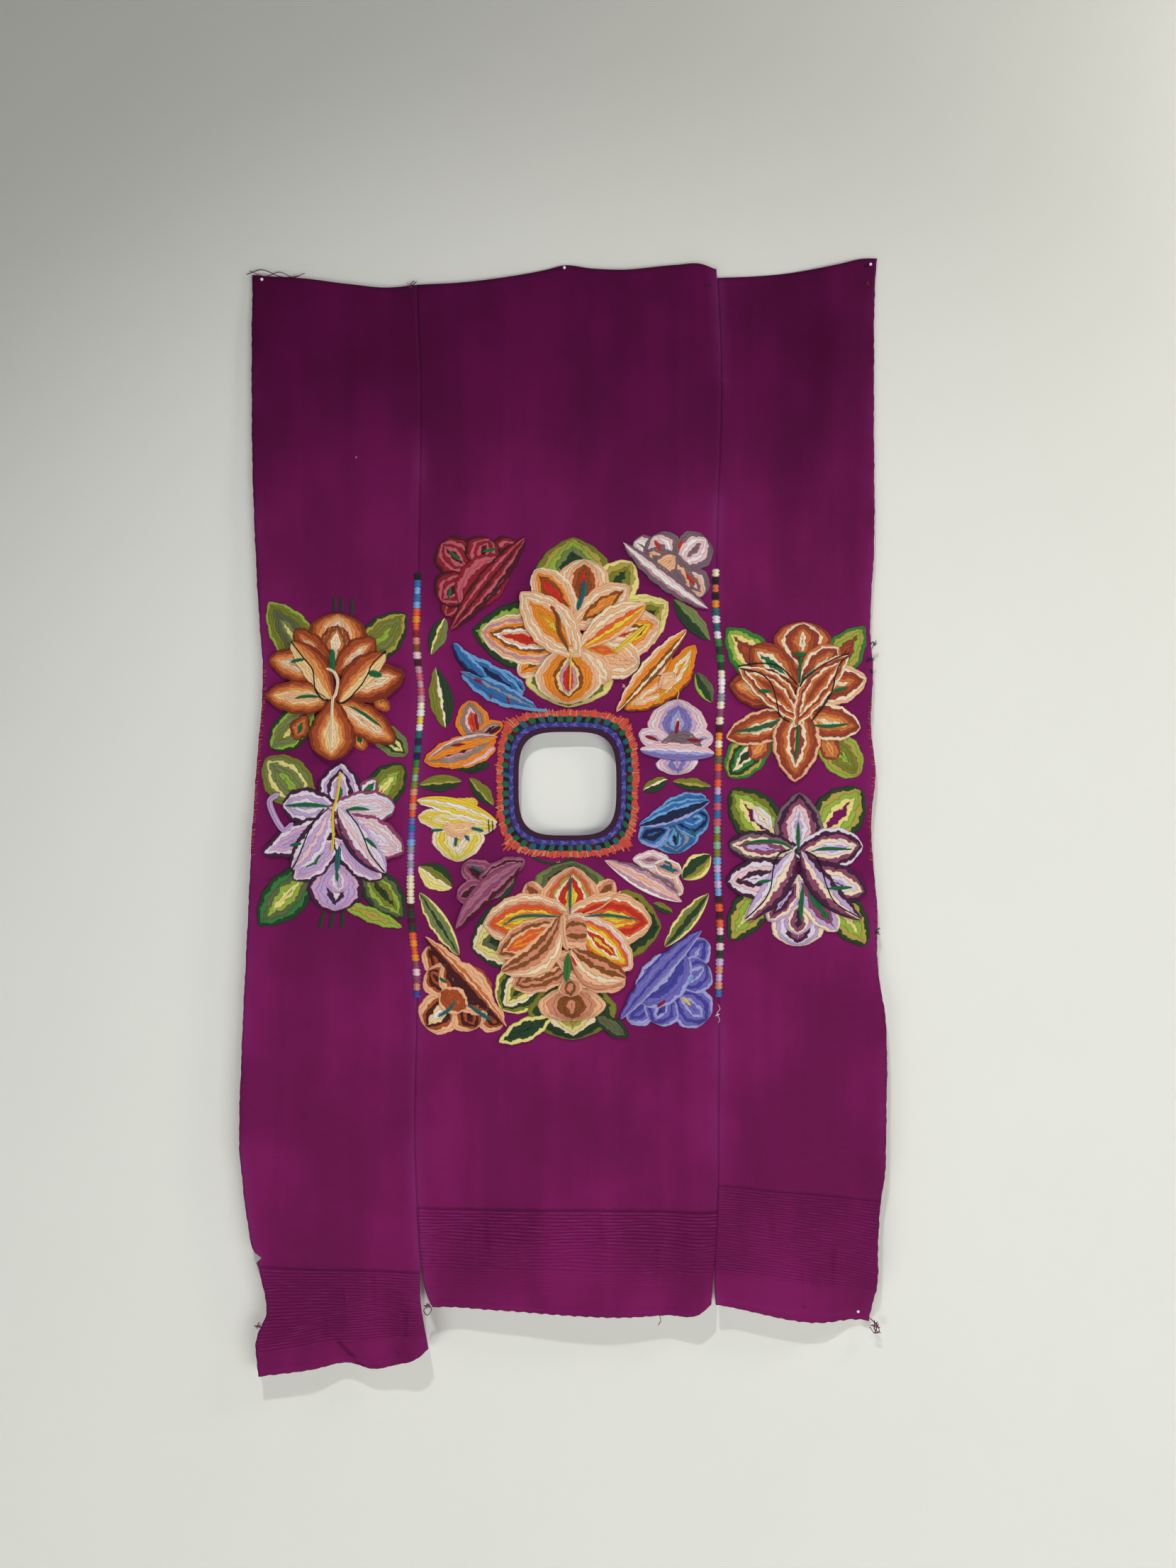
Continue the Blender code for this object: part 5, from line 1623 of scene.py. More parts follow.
        (86, 34, 128, 5, 46, 1.1, 0.5, "PPRdR"), (64, 44, 86, 2, 62, 1.1, 0.42, "PPRdRd"),
        (38, 86, 8, 132, 44, 1.1, 0.5, "PPRdR"), (48, 62, 10, 96, 56, 1.1, 0.42, "PPRdRd"),
        (34, 104, 105, 30, 68, 1.0, 0.45, "PPRddd"), (30, 62, 70, 34, 44, 1.0, 0.5, "PRRR"),
        (5, 148, 134, 5, 30, 1.0, 0.7, "PPOPRddd", ACROSS, 4),
    ], [
        (7, "t", 0.5, True, [(26, 22), (44, 34), (54, 48)]),
        (6, "e", 0.5, False, [(28, 84), (40, 76)]),
        (7, "t", 0.5, True, [(72, 42), (94, 26), (112, 14)]),
    ]),
    Motif("flower_corner_lower_right", (231, -1201), [
        (54, 52, 6, 6, 68, 1.2, 0.38, "jIiIjI"), (88, 34, 131, 6, 46, 1.1, 0.5, "jjIiI"),
        (63, 44, 90, 3, 60, 1.1, 0.42, "jIiIji"), (38, 88, 7, 135, 46, 1.1, 0.5, "jIiIj"),
        (46, 60, 5, 96, 64, 1.1, 0.42, "jIiIjI"), (36, 108, 110, 34, 76, 1.0, 0.45, "jIIiij"),
        (13, 150, 142, 8, 32, 1.0, 0.7, "iIVIiIVj", ACROSS, 6),
    ], [
        (5, "y", 0.5, False, [(30, 30), (44, 42)]), (6, "C", 0.5, False, [(70, 38), (84, 28)]),
        (5, "a", 0.5, False, [(26, 78), (34, 66)]),
    ], sense=(-1, 1)),
    Motif("flower_neck_blue_left", (-103, -659), [
        (-20, 22, 40, -12, 28, 1.1, 0.5, "aUNN"), (-72, 50, 38, -18, 30, 1.1, 0.6, "aaUUNN"),
        (-60, 12, 42, -38, 34, 1.1, 0.6, "aaUUNN"), (-62, 18, 60, -42, 24, 1.2, 0.6, "aUfUU", ACROSS),
        (-73, 62, -20, 8, 22, 0.9, 0.6, "aUUN", ACROSS, -4),
    ], [
        (6, "C", 0.4, True, [(-42, 6), (-34, 3), (-25, -2)]),
        (4, "C", 0.4, False, [(-12, -18), (-14, -26)]),
        (4, "C", 0.4, False, [(12, -22), (16, -34)]),
        (5, "a", 0.5, False, [(20, -36), (50, -42), (76, -44)]),
    ]),
    Motif("flower_neck_orange", (-152, -742), [
        (4, -38, 4, -60, 56, 0.8, 0.5, "GGG"), (43, -20, -40, -46, 34, 1.0, 0.5, "ohhq1"),
        (12, -10, 0, 55, 54, 0.9, 0.6, "oo11hEr"), (10, -4, 54, 20, 28, 1.0, 0.6, "oo1qd"),
        (44, -8, -70, -42, 46, 1.1, 0.6, "oo11qd"), (-4, -14, 38, -6, 24, 1.0, 0.5, "11", ALONG, 5),
        (47, -3, -64, -40, 22, 1.0, 0.6, "ooo1h", ACROSS, -8),
    ], [
        (6, "C", 0.5, False, [(11, 34), (15, 8)]), (6, "C", 0.4, True, [(-30, -17), (-4, -14)]),
        (9, "d", 0.4, True, [(32, 2), (52, 14)]),
    ]),
    Motif("flower_neck_yellow", (-168, -889), [
        (-28, 24, 31, 41, 28, 1.1, 0.5, "yyYc"), (0, 12, -2, -54, 84, 0.8, 0.6, "cYyYcwy"),
        (60, 2, -64, 18, 44, 1.0, 0.5, "cYyYcy"), (62, 8, -66, 44, 28, 1.0, 0.6, "wyYwyy", ACROSS, -6),
        (-24, 2, 26, 4, 26, 1.0, 0.5, "PPQ", ALONG, -8),
    ], [
        (5, "t", 0.4, False, [(-44, -4), (-24, -3)]), (5, "t", 0.4, False, [(-3, -14), (-5, -30)]),
        (6, "t", 0.4, False, [(10, -11), (17, -20)]), (6, "t", 0.4, False, [(20, 0), (40, -5)]),
        (1.8, "k", 0.2, False, [(48, 14), (49, -8)]), (1.8, "k", 0.2, False, [(54, 12), (55, -8)]),
    ]),
    Motif("flower_neck_mauve", (-116, -987), [
        (38, 22, 10, -16, 20, 1.0, 0.6, "GG"), (42, 36, -14, -19, 28, 1.1, 0.6, "2m2md"),
        (14, 8, -46, 38, 46, 1.1, 0.5, "2m2mdd"), (54, 47, -20, 16, 34, 0.9, 0.6, "m2d2md"),
        (-4, 8, -54, -14, 40, 1.1, 0.6, "2m2dd"), (50, 42, -56, -62, 34, 0.9, 0.7, "d2m22m", ACROSS, -10),
    ], [(5, "t", 0.5, False, [(-32, 38), (-22, 33), (-14, 28)])]),
    Motif("flower_neck_golden", (147, -647), [
        (2, 32, -28, -6, 28, 1.0, 0.5, "GG"), (-34, -26, 22, 34, 42, 1.1, 0.5, "noocPco"),
        (-52, -54, 58, 6, 44, 1.0, 0.6, "nooPcPo"), (6, -40, 60, 48, 36, 1.1, 0.6, "ooTcco"),
        (-64, -58, 47, 72, 30, 1.1, 0.6, "cPooncn", ACROSS, 4), (4, -20, 28, 4, 24, 1.0, 0.5, "PPQ"),
    ], [
        (2, "y", 0.5, False, [(30, 12), (42, 13), (54, 22)]),
        (2, "y", 0.5, False, [(16, -24), (4, -34), (-4, -46)]),
        (2, "y", 0.5, False, [(26, -20), (34, -26), (32, -38)]),
        (2, "y", 0.5, False, [(50, 6), (52, 26)]),
    ]),
    Motif("flower_neck_lavender", (178, -743), [
        (0, -28, 2, -62, 66, 0.9, 0.5, "WhLVL"), (0, -10, 3, 58, 94, 0.8, 0.6, "hWhLVVjh"),
        (-6, -12, -60, 4, 34, 1.2, 0.5, "hWhj"), (14, -10, 58, -2, 36, 1.1, 0.5, "hWhj"),
        (-26, -16, 40, -16, 34, 1.0, 0.5, "zzz", ALONG, 7),
        (-58, -22, 60, -28, 28, 1.0, 0.5, "hhWjVV", ACROSS),
    ], [
        (7, "C", 0.4, True, [(-52, -1), (-40, -3), (-28, -9)]),
        (7, "C", 0.4, True, [(16, -6), (40, -8)]), (6, "C", 0.5, False, [(3, 24), (-1, 2)]),
    ]),
    Motif("flower_neck_blue_right", (173, -882), [
        (-30, 14, 52, 42, 36, 1.1, 0.6, "aUUNN"), (0, -4, 6, -48, 76, 0.9, 0.6, "aUUfUaN"),
        (0, 0, 57, 10, 56, 1.2, 0.6, "aUNUaU"), (-6, -8, -56, -24, 44, 1.1, 0.6, "jaUNNU"),
        (-54, -4, 58, 36, 36, 1.0, 0.7, "aUaNNNjU", ACROSS),
    ], [
        (4, "a", 0.5, False, [(-22, -38), (-4, -20), (2, -8)]),
        (5, "t", 0.5, False, [(8, -12), (6, -32)]), (5, "t", 0.5, False, [(26, -8), (36, -22)]),
    ]),
    Motif("flower_neck_pink", (130, -968), [
        (-22, 29, 38, 26, 32, 1.1, 0.6, "hwhqz"), (-4, 12, 58, -26, 46, 1.1, 0.6, "hwPqzq"),
        (12, 22, 56, 8, 30, 1.1, 0.5, "wPqt"), (-66, 28, 57, -38, 34, 1.1, 0.7, "zqhPhqw", ACROSS, 2),
    ], [(4, "t", 0.5, False, [(28, 26), (38, 22), (40, 12)])]),
]

# Leaves: name, and the petal's row measured from the frame's origin, worked across
LEAVES = [
    ("leaf_upper_left", (-190, -556, -212, -614, 28, 0.9, 0.8, "ssvYGG")),
    ("leaf_left", (-188, -730, -204, -634, 38, 0.9, 0.8, "vvvcGGG")),
    ("leaf_neck_left", (-163, -815, -230, -821, 27, 1.0, 0.7, "GGGHvvv")),
    ("leaf_neck_left_inner", (-151, -810, -112, -853, 24, 1.1, 0.7, "vvvHGG")),
    ("leaf_lower_left_outer", (-178, -984, -231, -950, 42, 1.0, 0.7, "YYYcvvGG")),
    ("leaf_lower_left", (-167, -1091, -230, -992, 30, 1.0, 0.7, "YssGssY")),
    ("leaf_upper_right", (173, -527, 231, -592, 30, 1.0, 0.7, "sssGGG")),
    ("leaf_right", (209, -643, 235, -690, 26, 1.0, 0.7, "xxGGl")),
    ("leaf_neck_right_inner", (125, -830, 164, -812, 22, 1.0, 0.7, "vvcGGG")),
    ("leaf_neck_right", (172, -816, 233, -824, 20, 1.0, 0.7, "vvHGG")),
    ("leaf_lower_right_outer", (188, -970, 232, -932, 38, 1.0, 0.7, "YGGGvHY")),
    ("leaf_lower_right_inner", (141, -1009, 172, -1024, 15, 1.0, 0.7, "vvGG")),
    ("leaf_lower_right", (160, -1078, 229, -993, 30, 1.0, 0.7, "YsvGGsY")),
]

MOTIFS = FLOWERS + [Motif(name, (0, 0), [(*row, ACROSS)], slot=LEAF) for name, row in LEAVES]


# ---- Seam joins, neck and pins ----


@dataclass
class Randa:
    """A seam join: knots of thread in a chain along a seam, each wound in its own colour.

    first and last are the drops where the chain starts and ends.
    """

    node: str
    seam: Rows
    first: float
    last: float
    threads: str
    width: float = 12.5
    rise: float = 2.6
    filled: float = 0.97
    levels: int = 13
    sides: int = 9
    # the middle of each knot is painted paler as a highlight and its sides darker as shade
    painted_highlight: float = 1.35
    shade: float = 0.85

    def knots(self) -> Patch:
        """Winds the knots: a half-round spool each, narrow at its ends and at its waist.

        Its half width is 0.80 - 0.15 cos(4 pi t) + 0.10 sin(pi t) of the whole half over its
        height t, and its rise swells as sin^0.7.

        Returns:
            The knots, with a painted highlight along their middles and painted shade on their sides.
        """
        count = len(self.threads)
        pitch = (self.last - self.first) / count
        t = np.linspace(0, 1, self.levels)
        knot = np.arange(count)
        drop = self.first + pitch * (knot[:, None] + 0.5 + (t[None, :] - 0.5) * self.filled)
        belly = 0.80 - 0.15 * np.cos(4 * math.pi * t) + 0.10 * np.sin(math.pi * t)
        uneven = 1 + 0.08 * np.sin(knot * 2.4) + 0.06 * np.sin(knot * 5.3)
        half = self.width / 2 * belly[None, :] * uneven[:, None]
        angle = np.linspace(0, math.pi, self.sides)
        across = np.sign(np.cos(angle)) * np.abs(np.cos(angle))**0.8
        x = curve(self.seam, drop)[..., None] + half[..., None] * across
        z = np.broadcast_to(-drop[..., None], x.shape)
        swell = 0.35 + 0.65 * np.sin(math.pi * np.clip(t, 0.001, 0.999))**0.7
        rise = self.rise * swell[None, :, None] * np.sin(angle)**0.7
        out = np.where(np.sin(angle) > RIM, 0.3 + rise, FOOT) * np.ones_like(x)
        block = grid_triangles(self.levels, self.sides)
        start = knot * self.levels * self.sides
        triangles = (block[None] + start[:, None, None]).reshape(-1, 3)
        column = block.min(axis=1) % self.sides
        # painted highlight down the middle of each knot, painted shade on its sides
        light = np.where((column > 2) & (column < 5), self.painted_highlight, self.shade)
        colour = Thread.row(self.threads)[:, None, :] * light[None, :, None]
        run = np.broadcast_to((pitch * t)[None, :, None], x.shape)
        wide = np.broadcast_to(0.5 * across[None, None, :], x.shape)
        flat = np.column_stack([x.ravel(), z.ravel()])
        return Patch(np.column_stack([flat, out.ravel()]), facing(flat, triangles),
                     np.minimum(colour, 1).reshape(-1, 4),
                     np.stack([run, wide], axis=-1).reshape(-1, 2))

    def build(self) -> Object:
        """Builds the join as one piece."""
        obj = stitched(self.node + "_knots", self.knots(), BEAD_THREAD)
        return handed(obj, self.node)


@dataclass
class NeckEdge:
    """The crocheted edge, the block stitches and the buttonhole stitches round the neck."""

    blocks: int = 47
    block_steps: int = 16
    block_rise: float = 1.6
    loops: int = 118
    loop_steps: int = 8
    rounds: int = 6
    stitches: int = 620
    band_steps: int = 900
    chance: np.random.Generator = field(default_factory=lambda: np.random.default_rng(9))

    @staticmethod
    def measured(offset: float) -> tuple[Array, Array]:
        """Angles all round the neck, and how far along its outline at an offset each lies."""
        angle = np.linspace(0, 2 * math.pi, 4000)
        return angle, length_along(neck_ring(np.array(offset), angle))

    def ring(self, start: float, end: float | Array, profile: Array, ripple: Array,
             colour: Array) -> Patch:
        """A band round the neck, at even steps along its inner edge.

        Args:
            start: distance of its inner edge from the opening.
            end: distance of its outer edge, one number or one for each step.
            profile: height of each level across it.
            ripple: height added at each (level, step).
            colour: linear colour at each (level cell, step).

        Returns:
            The patch.
        """
        levels, steps = len(profile), ripple.shape[1]
        dense, run = self.measured(start)
        at = np.linspace(0, run[-1], steps, endpoint=False)
        offset = start + np.linspace(0, 1, levels)[:, None] * (np.zeros(steps) + end - start)
        points = neck_ring(offset, np.broadcast_to(np.interp(at, run, dense), offset.shape))
        out = profile[:, None] + ripple
        triangles = grid_triangles(levels, steps, around=True)
        flat = points.reshape(-1, 2)
        thread_map = np.stack(np.broadcast_arrays(at[None, :], (offset - start) / 8), axis=-1)
        return Patch(np.column_stack([flat, out.ravel()]), facing(flat, triangles),
                     np.repeat(colour.reshape(-1, 4), 2, axis=0), thread_map.reshape(-1, 2))

    def crochet(self) -> Object:
        """The rounds of crochet, the inner half purple and the outer half blue, closed behind.

        A loop rises as |sin * sin|^0.6 over its length and its round's width, every other round
        set half a loop on, and the outer edge is scalloped by |sin|. Low parts of the loops get
        painted shade, and the closed back is a darker indigo as painted shade.

        Returns:
            The edge.
        """
        steps = self.loop_steps * self.loops
        share = np.linspace(0, 1, 4 * self.rounds + 1)[:, None]
        turn = np.arange(steps)[None, :] / self.loop_steps
        turn = turn + (0.35 * np.sin(turn * 0.83) + 0.25 * np.sin(turn * 2.1 + 1))
        row = np.floor(share * (self.rounds - 0.001))
        knob = np.abs(np.sin(math.pi * (turn + 0.5 * (row % 2))))
        loop = 0.9 * (knob * np.sin(math.pi * ((share * self.rounds) % 1)))**0.6
        loop = loop * np.sin(math.pi * np.clip(share, 0.001, 0.999))**0.3
        pale = ((turn + 0.5 * (row % 2)) % 3 < 1)[..., None]
        light = np.where((row < self.rounds / 2 - 0.5)[..., None], Thread.row("u"),
                         np.where(pale, Thread.row("I"), Thread.row("i")))
        # painted shade: the thread is darker where a loop lies low
        light = (light * (0.55 + 0.45 * np.clip(loop * 1.4, 0, 1))[..., None])[:-1]
        scallop = CROCHET_WIDTH + 2.0 * np.abs(np.sin(math.pi * turn[0] / 2)) - 0.8
        bulge = np.sin(math.pi * share[:, 0])**0.5
        front = self.ring(0.0, scallop, bulge + 0.2, loop, light)
        levels, few = 9, steps // 4
        bulge = np.sin(math.pi * np.linspace(0, 1, levels))**0.5
        # the back, turned to the cloth, is darker indigo: painted shade
        back = self.ring(0.0, CROCHET_WIDTH, -bulge, np.zeros((levels, few)),
                         np.broadcast_to(0.6 * Thread.row("i"), (levels - 1, few, 4)))
        back.triangles = back.triangles[:, ::-1]
        obj = stitched("neck_crochet_loops", Patch.joined([front, back]), LINE_THREAD)
        return handed(obj, "neck_crochet")

    def block_stitches(self) -> Object:
        """Blocks of satin stitch with dark stitches between them.

        A block rises as (2 - 2 |along / width|^2.6 - 2 |upright|^3)^0.5 up to 1, each of its
        own width, lean and reach.

        Returns:
            The band.
        """
        steps = self.block_steps * self.blocks
        share = np.linspace(0, 1, 12)[:, None]
        low, high = (0.48, -0.2, 0.8, -0.15), (0.72, 0.2, 1.0, 0.1)
        drawn = self.chance.uniform(low, high, (self.blocks, 4))
        width, lean, reach, foot = drawn.repeat(self.block_steps, axis=0).T
        turn = np.arange(steps) / self.block_steps
        along = np.abs((turn % 1) - 0.5 + lean * (share - 0.5)) * 2
        upright = np.abs(share - (reach + foot) / 2) / ((reach - foot) / 2)
        round_out = (along / width)**2.6 + upright**3
        block = np.clip((1 - round_out) / 0.5, 0, 1)**0.5
        profile = 0.9 * np.sin(math.pi * np.clip(share[:, 0], 0.02, 0.98))**0.4
        between = Thread.row("kNkddkNkuk")
        dark = between[(np.floor(turn + 0.5).astype(int) * 3) % len(between)]
        teal = Thread.row("ettete")[np.floor(turn).astype(int) % 6] * np.array([0.8, 1, 1.15, 1])
        colour = np.where(block[:-1, :, None] > 0.5, teal[None], dark[None])
        start = CROCHET_WIDTH + 2 * SEAM_GAP
        band = self.ring(start, start + BLOCKS_WIDTH, profile, self.block_rise * block, colour)
        obj = stitched("neck_blocks_stitches", band, BEAD_THREAD)
        return handed(obj, "neck_blocks")

    def buttonhole(self) -> Object:
        """Coral stitches that fan out from a low band, longer at the corners and in clumps; the band
        under them is a darker coral as painted shade.

        Returns:
            The stitches.
        """
        start = CROCHET_WIDTH + BLOCKS_WIDTH + 3 * SEAM_GAP
        ripple = 0.35 * np.abs(np.sin(math.pi * np.arange(self.band_steps) / 2.5))[None, :]
        # painted shade: the band under the stitches is a darker coral
        under = self.ring(start - 1.5, start + 4.5, np.array([0.2, 1.2, 1.4, 1.2, FOOT]), ripple,
                          np.broadcast_to(Thread.row("K") * 0.75, (4, self.band_steps, 4)))
        draw, count = self.chance.uniform, self.stitches
        angle, run = self.measured(start)
        at = np.interp((np.arange(count) + draw(-0.4, 0.4, count)) / count * run[-1], run, angle)
        corner = np.abs(np.sin(2 * at))**40
        clump = 2.2 * np.sin(at * 23) + 1.6 * np.sin(at * 41 + 1) + 1.0 * np.sin(at * 97)
        length = 5.5 + 0.45 * clump + draw(-1.2, 1.6, count)
        length += 12 * corner * draw(0.1, 1, count)
        inner, outer = neck_ring(start - 4.5 + 0 * at, at), neck_ring(start + length, at)
        lean = draw(-1.6, 1.6, (count, 2))
        wide, low = draw(2.0, 3.2, count), draw(0.3, 1.2, count)
        shades = self.chance.choice(list("KKKKKS"), count)
        stitches = [Line([a, (a + b) / 2 + 0.5 * skew, b + skew], size, shade, 1.0, 0.8
                         ).patch(np.zeros(2), np.ones(2), foot)
                    for a, b, skew, size, foot, shade in
                    zip(inner, outer, lean, wide, low, shades)]
        obj = stitched("neck_buttonhole_stitches", Patch.joined([under, *stitches]), LINE_THREAD)
        return handed(obj, "neck_buttonhole")


@dataclass
class LooseThreads:
    """Sewing left open: stitches over a cloth edge, tufts, thread tails and snags.

    A row of edge stitches is (edge, first drop, last drop, pitch, reach, threads); a row of tails
    is (width, thread, knots); a row of tufts is (x, z, spread, strands, threads).
    """

    name: str
    edges: Sequence[tuple]
    tufts: Sequence[tuple]
    tails: Sequence[tuple]
    chance: np.random.Generator = field(default_factory=lambda: np.random.default_rng(12))

    def over_edge(self, row: tuple) -> list[Line]:
        """Slanting stitches over an edge, each a little longer or shorter than the next.

        Args:
            row: the row of edge stitches.

        Returns:
            The stitches.
        """
        edge, first, last, pitch, reach, threads = row
        count = round((last - first) / pitch)
        drop = first + (np.arange(count) + self.chance.uniform(-0.3, 0.3, count)) * pitch
        x = curve(edge, drop)
        long = self.chance.uniform(0.5, 1.1, count) * reach
        shade = self.chance.choice(list(threads), count)
        return [Line([(a, -d), (a + r, 1.5 - d)], 1.3, c, 0.8)
                for a, d, r, c in zip(x, drop, long, shade)]

    def tuft(self, row: tuple) -> list[Line]:
        """A bunch of short strands that fan out round one place.

        Args:
            row: the tuft's row.

        Returns:
            The strands.
        """
        x, z, spread, strands, threads = row
        start = np.array([x, z]) + self.chance.uniform(-0.4, 0.4, (strands, 2)) * spread
        end = start + self.chance.uniform(-1, 1, (strands, 2)) * spread
        bend = (start + end) / 2 + self.chance.uniform(-0.3, 0.3, (strands, 2)) * spread
        shade = self.chance.choice(list(threads), strands)
        return [Line([a, b, c], 1.2, s, 0.8) for a, b, c, s in zip(start, bend, end, shade)]

    def build(self) -> Object:
        """Sews them all as one piece.

        Returns:
            The piece.
        """
        lines = [line for row in self.edges for line in self.over_edge(row)]
        lines += [line for row in self.tufts for line in self.tuft(row)]
        lines += [Line(knots, width, thread, 0.9, 0.8) for width, thread, knots in self.tails]
        patches = [line.patch(np.zeros(2), np.ones(2), 0.1) for line in lines]
        obj = stitched(self.name, Patch.joined(patches), LINE_THREAD)
        LOG.info("%s: %d threads, %d triangles", obj.name, len(lines), len(obj.data.polygons))
        return obj


@dataclass
class Pin:
    """A ball-headed pin: a steel shank through the cloth into the wall, and an enamel head."""

    node: str
    x: float
    drop: float
    radius: float = 2.4
    shank: float = 0.6
    in_wall: float = 12.0
    point: float = 3.0
    gap: float = 0.4

    def build(self) -> Object:
        """Turns the pin's profile round its axis: a point, a shank and a ball.

        Returns:
            The pin.
        """
        face = float(HANG.face(np.array(self.x), np.array(-self.drop)))
        head = face + self.gap + self.radius
        angle = np.linspace(math.asin(self.shank / self.radius), math.pi, 14)
        radius = np.concatenate([[0, self.shank, self.shank], self.radius * np.sin(angle)])
        along = np.concatenate([[-self.in_wall, self.point - self.in_wall, 0],
                                head - self.radius * np.cos(angle)])
        turn = np.linspace(0, 2 * math.pi, 20, endpoint=False)
        x = self.x + radius[:, None] * np.cos(turn)
        z = -self.drop + radius[:, None] * np.sin(turn)
        points = np.stack([x, np.broadcast_to(-along[:, None], x.shape), z], axis=-1)
        triangles = grid_triangles(len(radius), len(turn), around=True)
        obj = mesh_object(self.node + "_turned", points.reshape(-1, 3), triangles, ENAMEL)
        return handed(obj, self.node)


# ---- Room, light and camera ----


@dataclass
class Stage:
    """A pale wall and floor, soft light from above on the left, and the camera.

    eye is where the camera stands, in metres, lens its focal length in millimetres, and stoop
    how far below level it looks, in radians.
    """

    wall: PlainFinish = PlainFinish("pale_wall", (0.74, 0.75, 0.70, 1.0), 0.9, 0.03)
    floor: PlainFinish = PlainFinish("pale_floor", (0.70, 0.69, 0.66, 1.0), 0.8, 0.02)
    floor_level: float = -2.35
    sky: tuple = (0.92, 0.95, 1.0, 1.0)
    sky_strength: float = 0.03
    eye: tuple = (0.0376, -1.90, -0.792)
    lens: float = 27.19
    stoop: float = 0.0146

    def plane(self, name: str, corners: Rows, finish: PlainFinish) -> Object:
        """A rectangle.

        Args:
            name: the object's name.
            corners: its corners, in metres.
            finish: its finish.

        Returns:
            The object.
        """
        mesh = bpy.data.meshes.new(name)
        mesh.from_pydata([tuple(corner) for corner in corners], [], [(0, 1, 2, 3)])
        mesh.materials.append(finish.make())
        obj = bpy.data.objects.new(name, mesh)
        bpy.context.scene.collection.objects.link(obj)
        return obj

    @staticmethod
    def see_through_behind(material: bpy.types.Material) -> None:
        """Lets the wall be seen through from its back, so that the cloth's back can be seen.

        Args:
            material: the wall's material.
        """
        nodes = Nodes(material)
        behind = nodes.add("NewGeometry").outputs["Backfacing"]
        clear = nodes.add("BsdfTransparent").outputs[0]
        mix = nodes.add("MixShader", {0: behind, 1: nodes.shader.outputs[0], 2: clear})
        nodes.feed(material.node_tree.nodes["Material Output"].inputs["Surface"], mix.outputs[0])

    def lamp(self, name: str, place: tuple, target: tuple, size: float, power: float,
             colour: tuple, cone: float = 0.0) -> Object:
        """A soft lamp that faces a target: a square one, or a spot where it has a cone.

        Args:
            name: the object's name.
            place: where it is, in metres.
            target: what it faces.
            size: the square's side, or the spot's radius.
            power: its power in watts.
            colour: its colour.
            cone: the spot's whole angle in degrees.

        Returns:
            The lamp.
        """
        light = bpy.data.lights.new(name, "SPOT" if cone else "AREA")
        if cone:
            light.spot_size = math.radians(cone)
            light.spot_blend = 1.0
            light.shadow_soft_size = size
        else:
            light.size = size
        light.energy = power
        light.color = colour
        obj = bpy.data.objects.new(name, light)
        obj.location = place
        way = np.array(target, float) - np.array(place, float)
        obj.rotation_euler = (math.atan2(math.hypot(way[0], way[1]), -way[2]), 0.0,
                              math.atan2(-way[0], way[1]))
        bpy.context.scene.collection.objects.link(obj)
        return obj

    def build(self) -> None:
        """Sets the stage: the wall, which casts no shadow, the floor, the lamps, a faint sky
        and the camera."""
        self.see_through_behind(self.wall.make())
        low = self.floor_level
        wall = self.plane("stage_wall", [(-3, 0, low), (3, 0, low), (3, 0, 1.4), (-3, 0, 1.4)],
                          self.wall)
        wall.visible_shadow = False
        floor = self.plane("stage_floor", [(-4, -5, low), (4, -5, low), (4, 4, low), (-4, 4, low)],
                           self.floor)
        warm, plain = (1.0, 0.96, 0.90), (1.0, 1.0, 1.0)
        self.lamp("stage_key", (-0.42, -2.2, 1.75), (0.25, 0, -2.9), 0.08, 225, plain, 66)
        self.lamp("stage_fill", (2.0, -3.0, -2.1), (0.4, 0, -1.5), 2.4, 98, plain)
        self.lamp("stage_left", (-1.6, -2.4, -2.6), (-0.4, 0, -2.0), 1.6, 60, plain)
        self.lamp("stage_side", (2.3, -0.9, 0.55), (1.0, 0, 0.1), 0.5, 24, warm)
        self.lamp("stage_back", (0.0, 3.0, 0.8), (0.0, 0, -0.9), 2.0, 60, plain)
        scene = bpy.context.scene
        scene.view_settings.view_transform = "Standard"
        scene.world = bpy.data.worlds.new("stage_world")
        scene.world.use_nodes = True
        sky = scene.world.node_tree.nodes["Background"].inputs
        sky["Color"].default_value = self.sky
        sky["Strength"].default_value = self.sky_strength
        camera = bpy.data.cameras.new("camera")
        camera.lens = self.lens
        scene.camera = bpy.data.objects.new("camera", camera)
        scene.camera.location = self.eye
        scene.camera.rotation_euler = (math.pi / 2 - self.stoop, 0.0, 0.0)
        scene.collection.objects.link(scene.camera)


# ---- The whole ----

PANELS = [
    Panel(Side.LEFT, LEFT_TOP, LEFT_HEM, (1588, 1596, 1726, 1690), (0.9,) * 25, (0.264, 1.75)),
    Panel(Side.CENTRE, CENTRE_TOP, CENTRE_HEM, (1494, 1500, 1622, 1631),
          (1.2,) * 10 + (0.8,) * 8 + (0.45,) * 6, (0.476, 1.67), row=9.0),
    Panel(Side.RIGHT, RIGHT_TOP, RIGHT_HEM, (1458, 1484, 1592, 1628), (0.8,) * 31,
          (0.25, 1.69)),
]

RANDAS = [
    Randa("left_randa", LEFT_SEAM, 484, 1158,
          "kUaUaEoECSnhdqpqpqcwywtNtNgvMvSESEIUIafLfLccccdGdGEoEomhmSi"),
    Randa("right_randa", RIGHT_SEAM, 478, 1158,
          "ckOkotWtWgGgGcwwfcmcdocoxEmELUpUpMvMvaLaLadEdEhGhGLSLSU"),
]

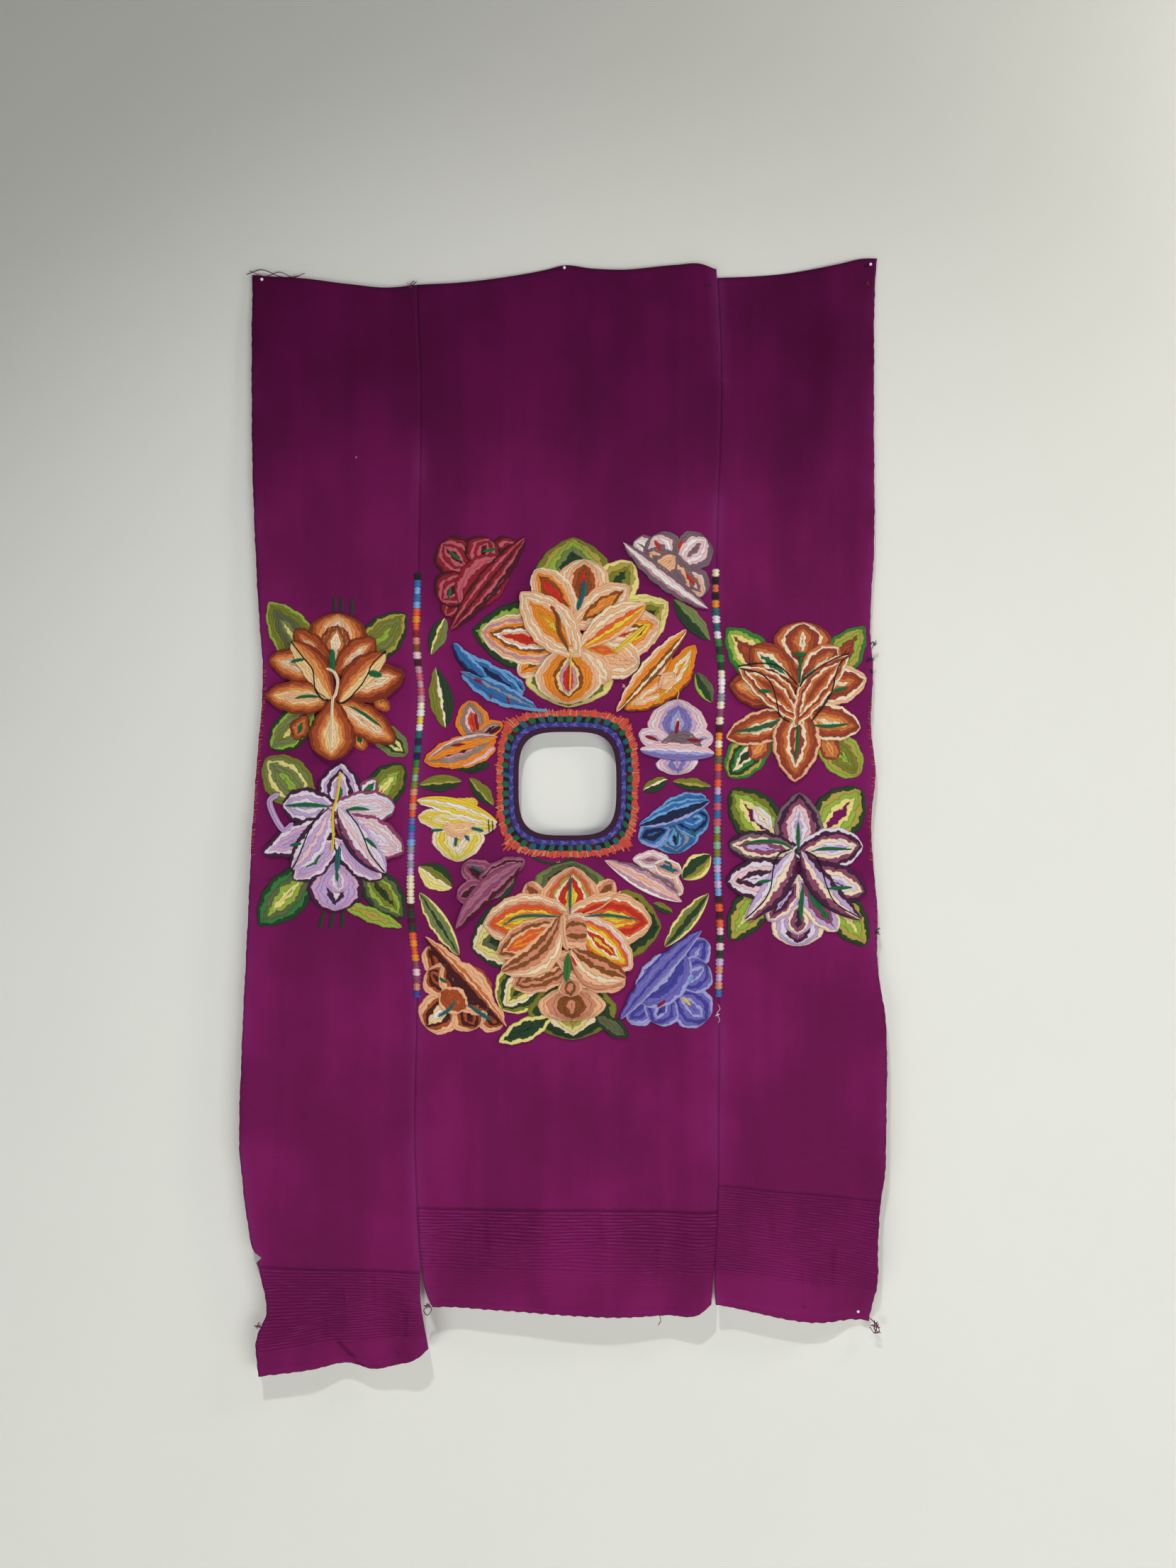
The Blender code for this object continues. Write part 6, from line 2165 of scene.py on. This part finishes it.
LOOSE = LooseThreads(
    "loose_threads",
    edges=[
        (LEFT_EDGE, 634, 936, 3.1, 7, "Crpp"),
        (RIGHT_EDGE, 688, 947, 3.3, -7, "Crpm"),
        (LEFT_EDGE, 60, 560, 11, 5, "udu"),
        (RIGHT_EDGE, 960, 1600, 13, -5, "udu"),
    ],
    tufts=[
        (489, -596, 7, 14, "GkG"), (486, -622, 7, 14, "GkkN"), (488, -640, 5, 8, "Gkk"),
        (495, -1053, 6, 12, "GGk"), (499, -1688, 8, 14, "dumm"), (-486, -1680, 6, 14, "dumm"),
        (-244, -27, 9, 14, "dumL"), (-216, -1644, 6, 10, "Cud"), (482, -24, 7, 9, "udm"),
        (-176, -905, 3, 8, "ccw"), (244, -1185, 4, 5, "ww"), (-330, -300, 2, 4, "wf"),
        (94, -664, 3, 9, "PPQ"), (228, -28, 5, 8, "udu"), (-10, -948, 6, 7, "yc"),
    ],
    tails=[
        (1.1, "m", [(-500, -4), (-476, -12), (-452, -6), (-430, -15), (-412, -9)]),
        (1.1, "u", [(-505, -10), (-480, -2), (-448, -14), (-420, -13)]),
        (0.8, "w", [(244, -1169), (247, -1176), (242, -1184), (246, -1192), (244, -1198)]),
        (1.2, "d", [(488, -1676), (499, -1684), (503, -1694), (495, -1697), (489, -1689)]),
        (1.1, "u", [(-218, -1640), (-210, -1650), (-216, -1659), (-222, -1651), (-216, -1645)]),
        (1.0, "u", [(-268, -1716), (-261, -1724), (-265, -1732)]),
        (1.0, "u", [(150, -1660), (153, -1670), (149, -1678)]),
        (5.0, "G", [(-54, -934), (-34, -943), (-12, -946), (15, -938)]),
    ],
)


def main() -> None:
    """Builds everything in order."""
    logging.basicConfig(level=logging.INFO, format="%(message)s")
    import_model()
    neck = NeckEdge()
    for piece in [*PANELS, *MOTIFS, *RANDAS]:
        piece.build()
    neck.crochet()
    neck.block_stitches()
    neck.buttonhole()
    LOOSE.build()
    for node, x, drop, _ in PINS:
        Pin(node, x, drop).build()
    Stage().build()


if __name__ == "__main__":
    main()
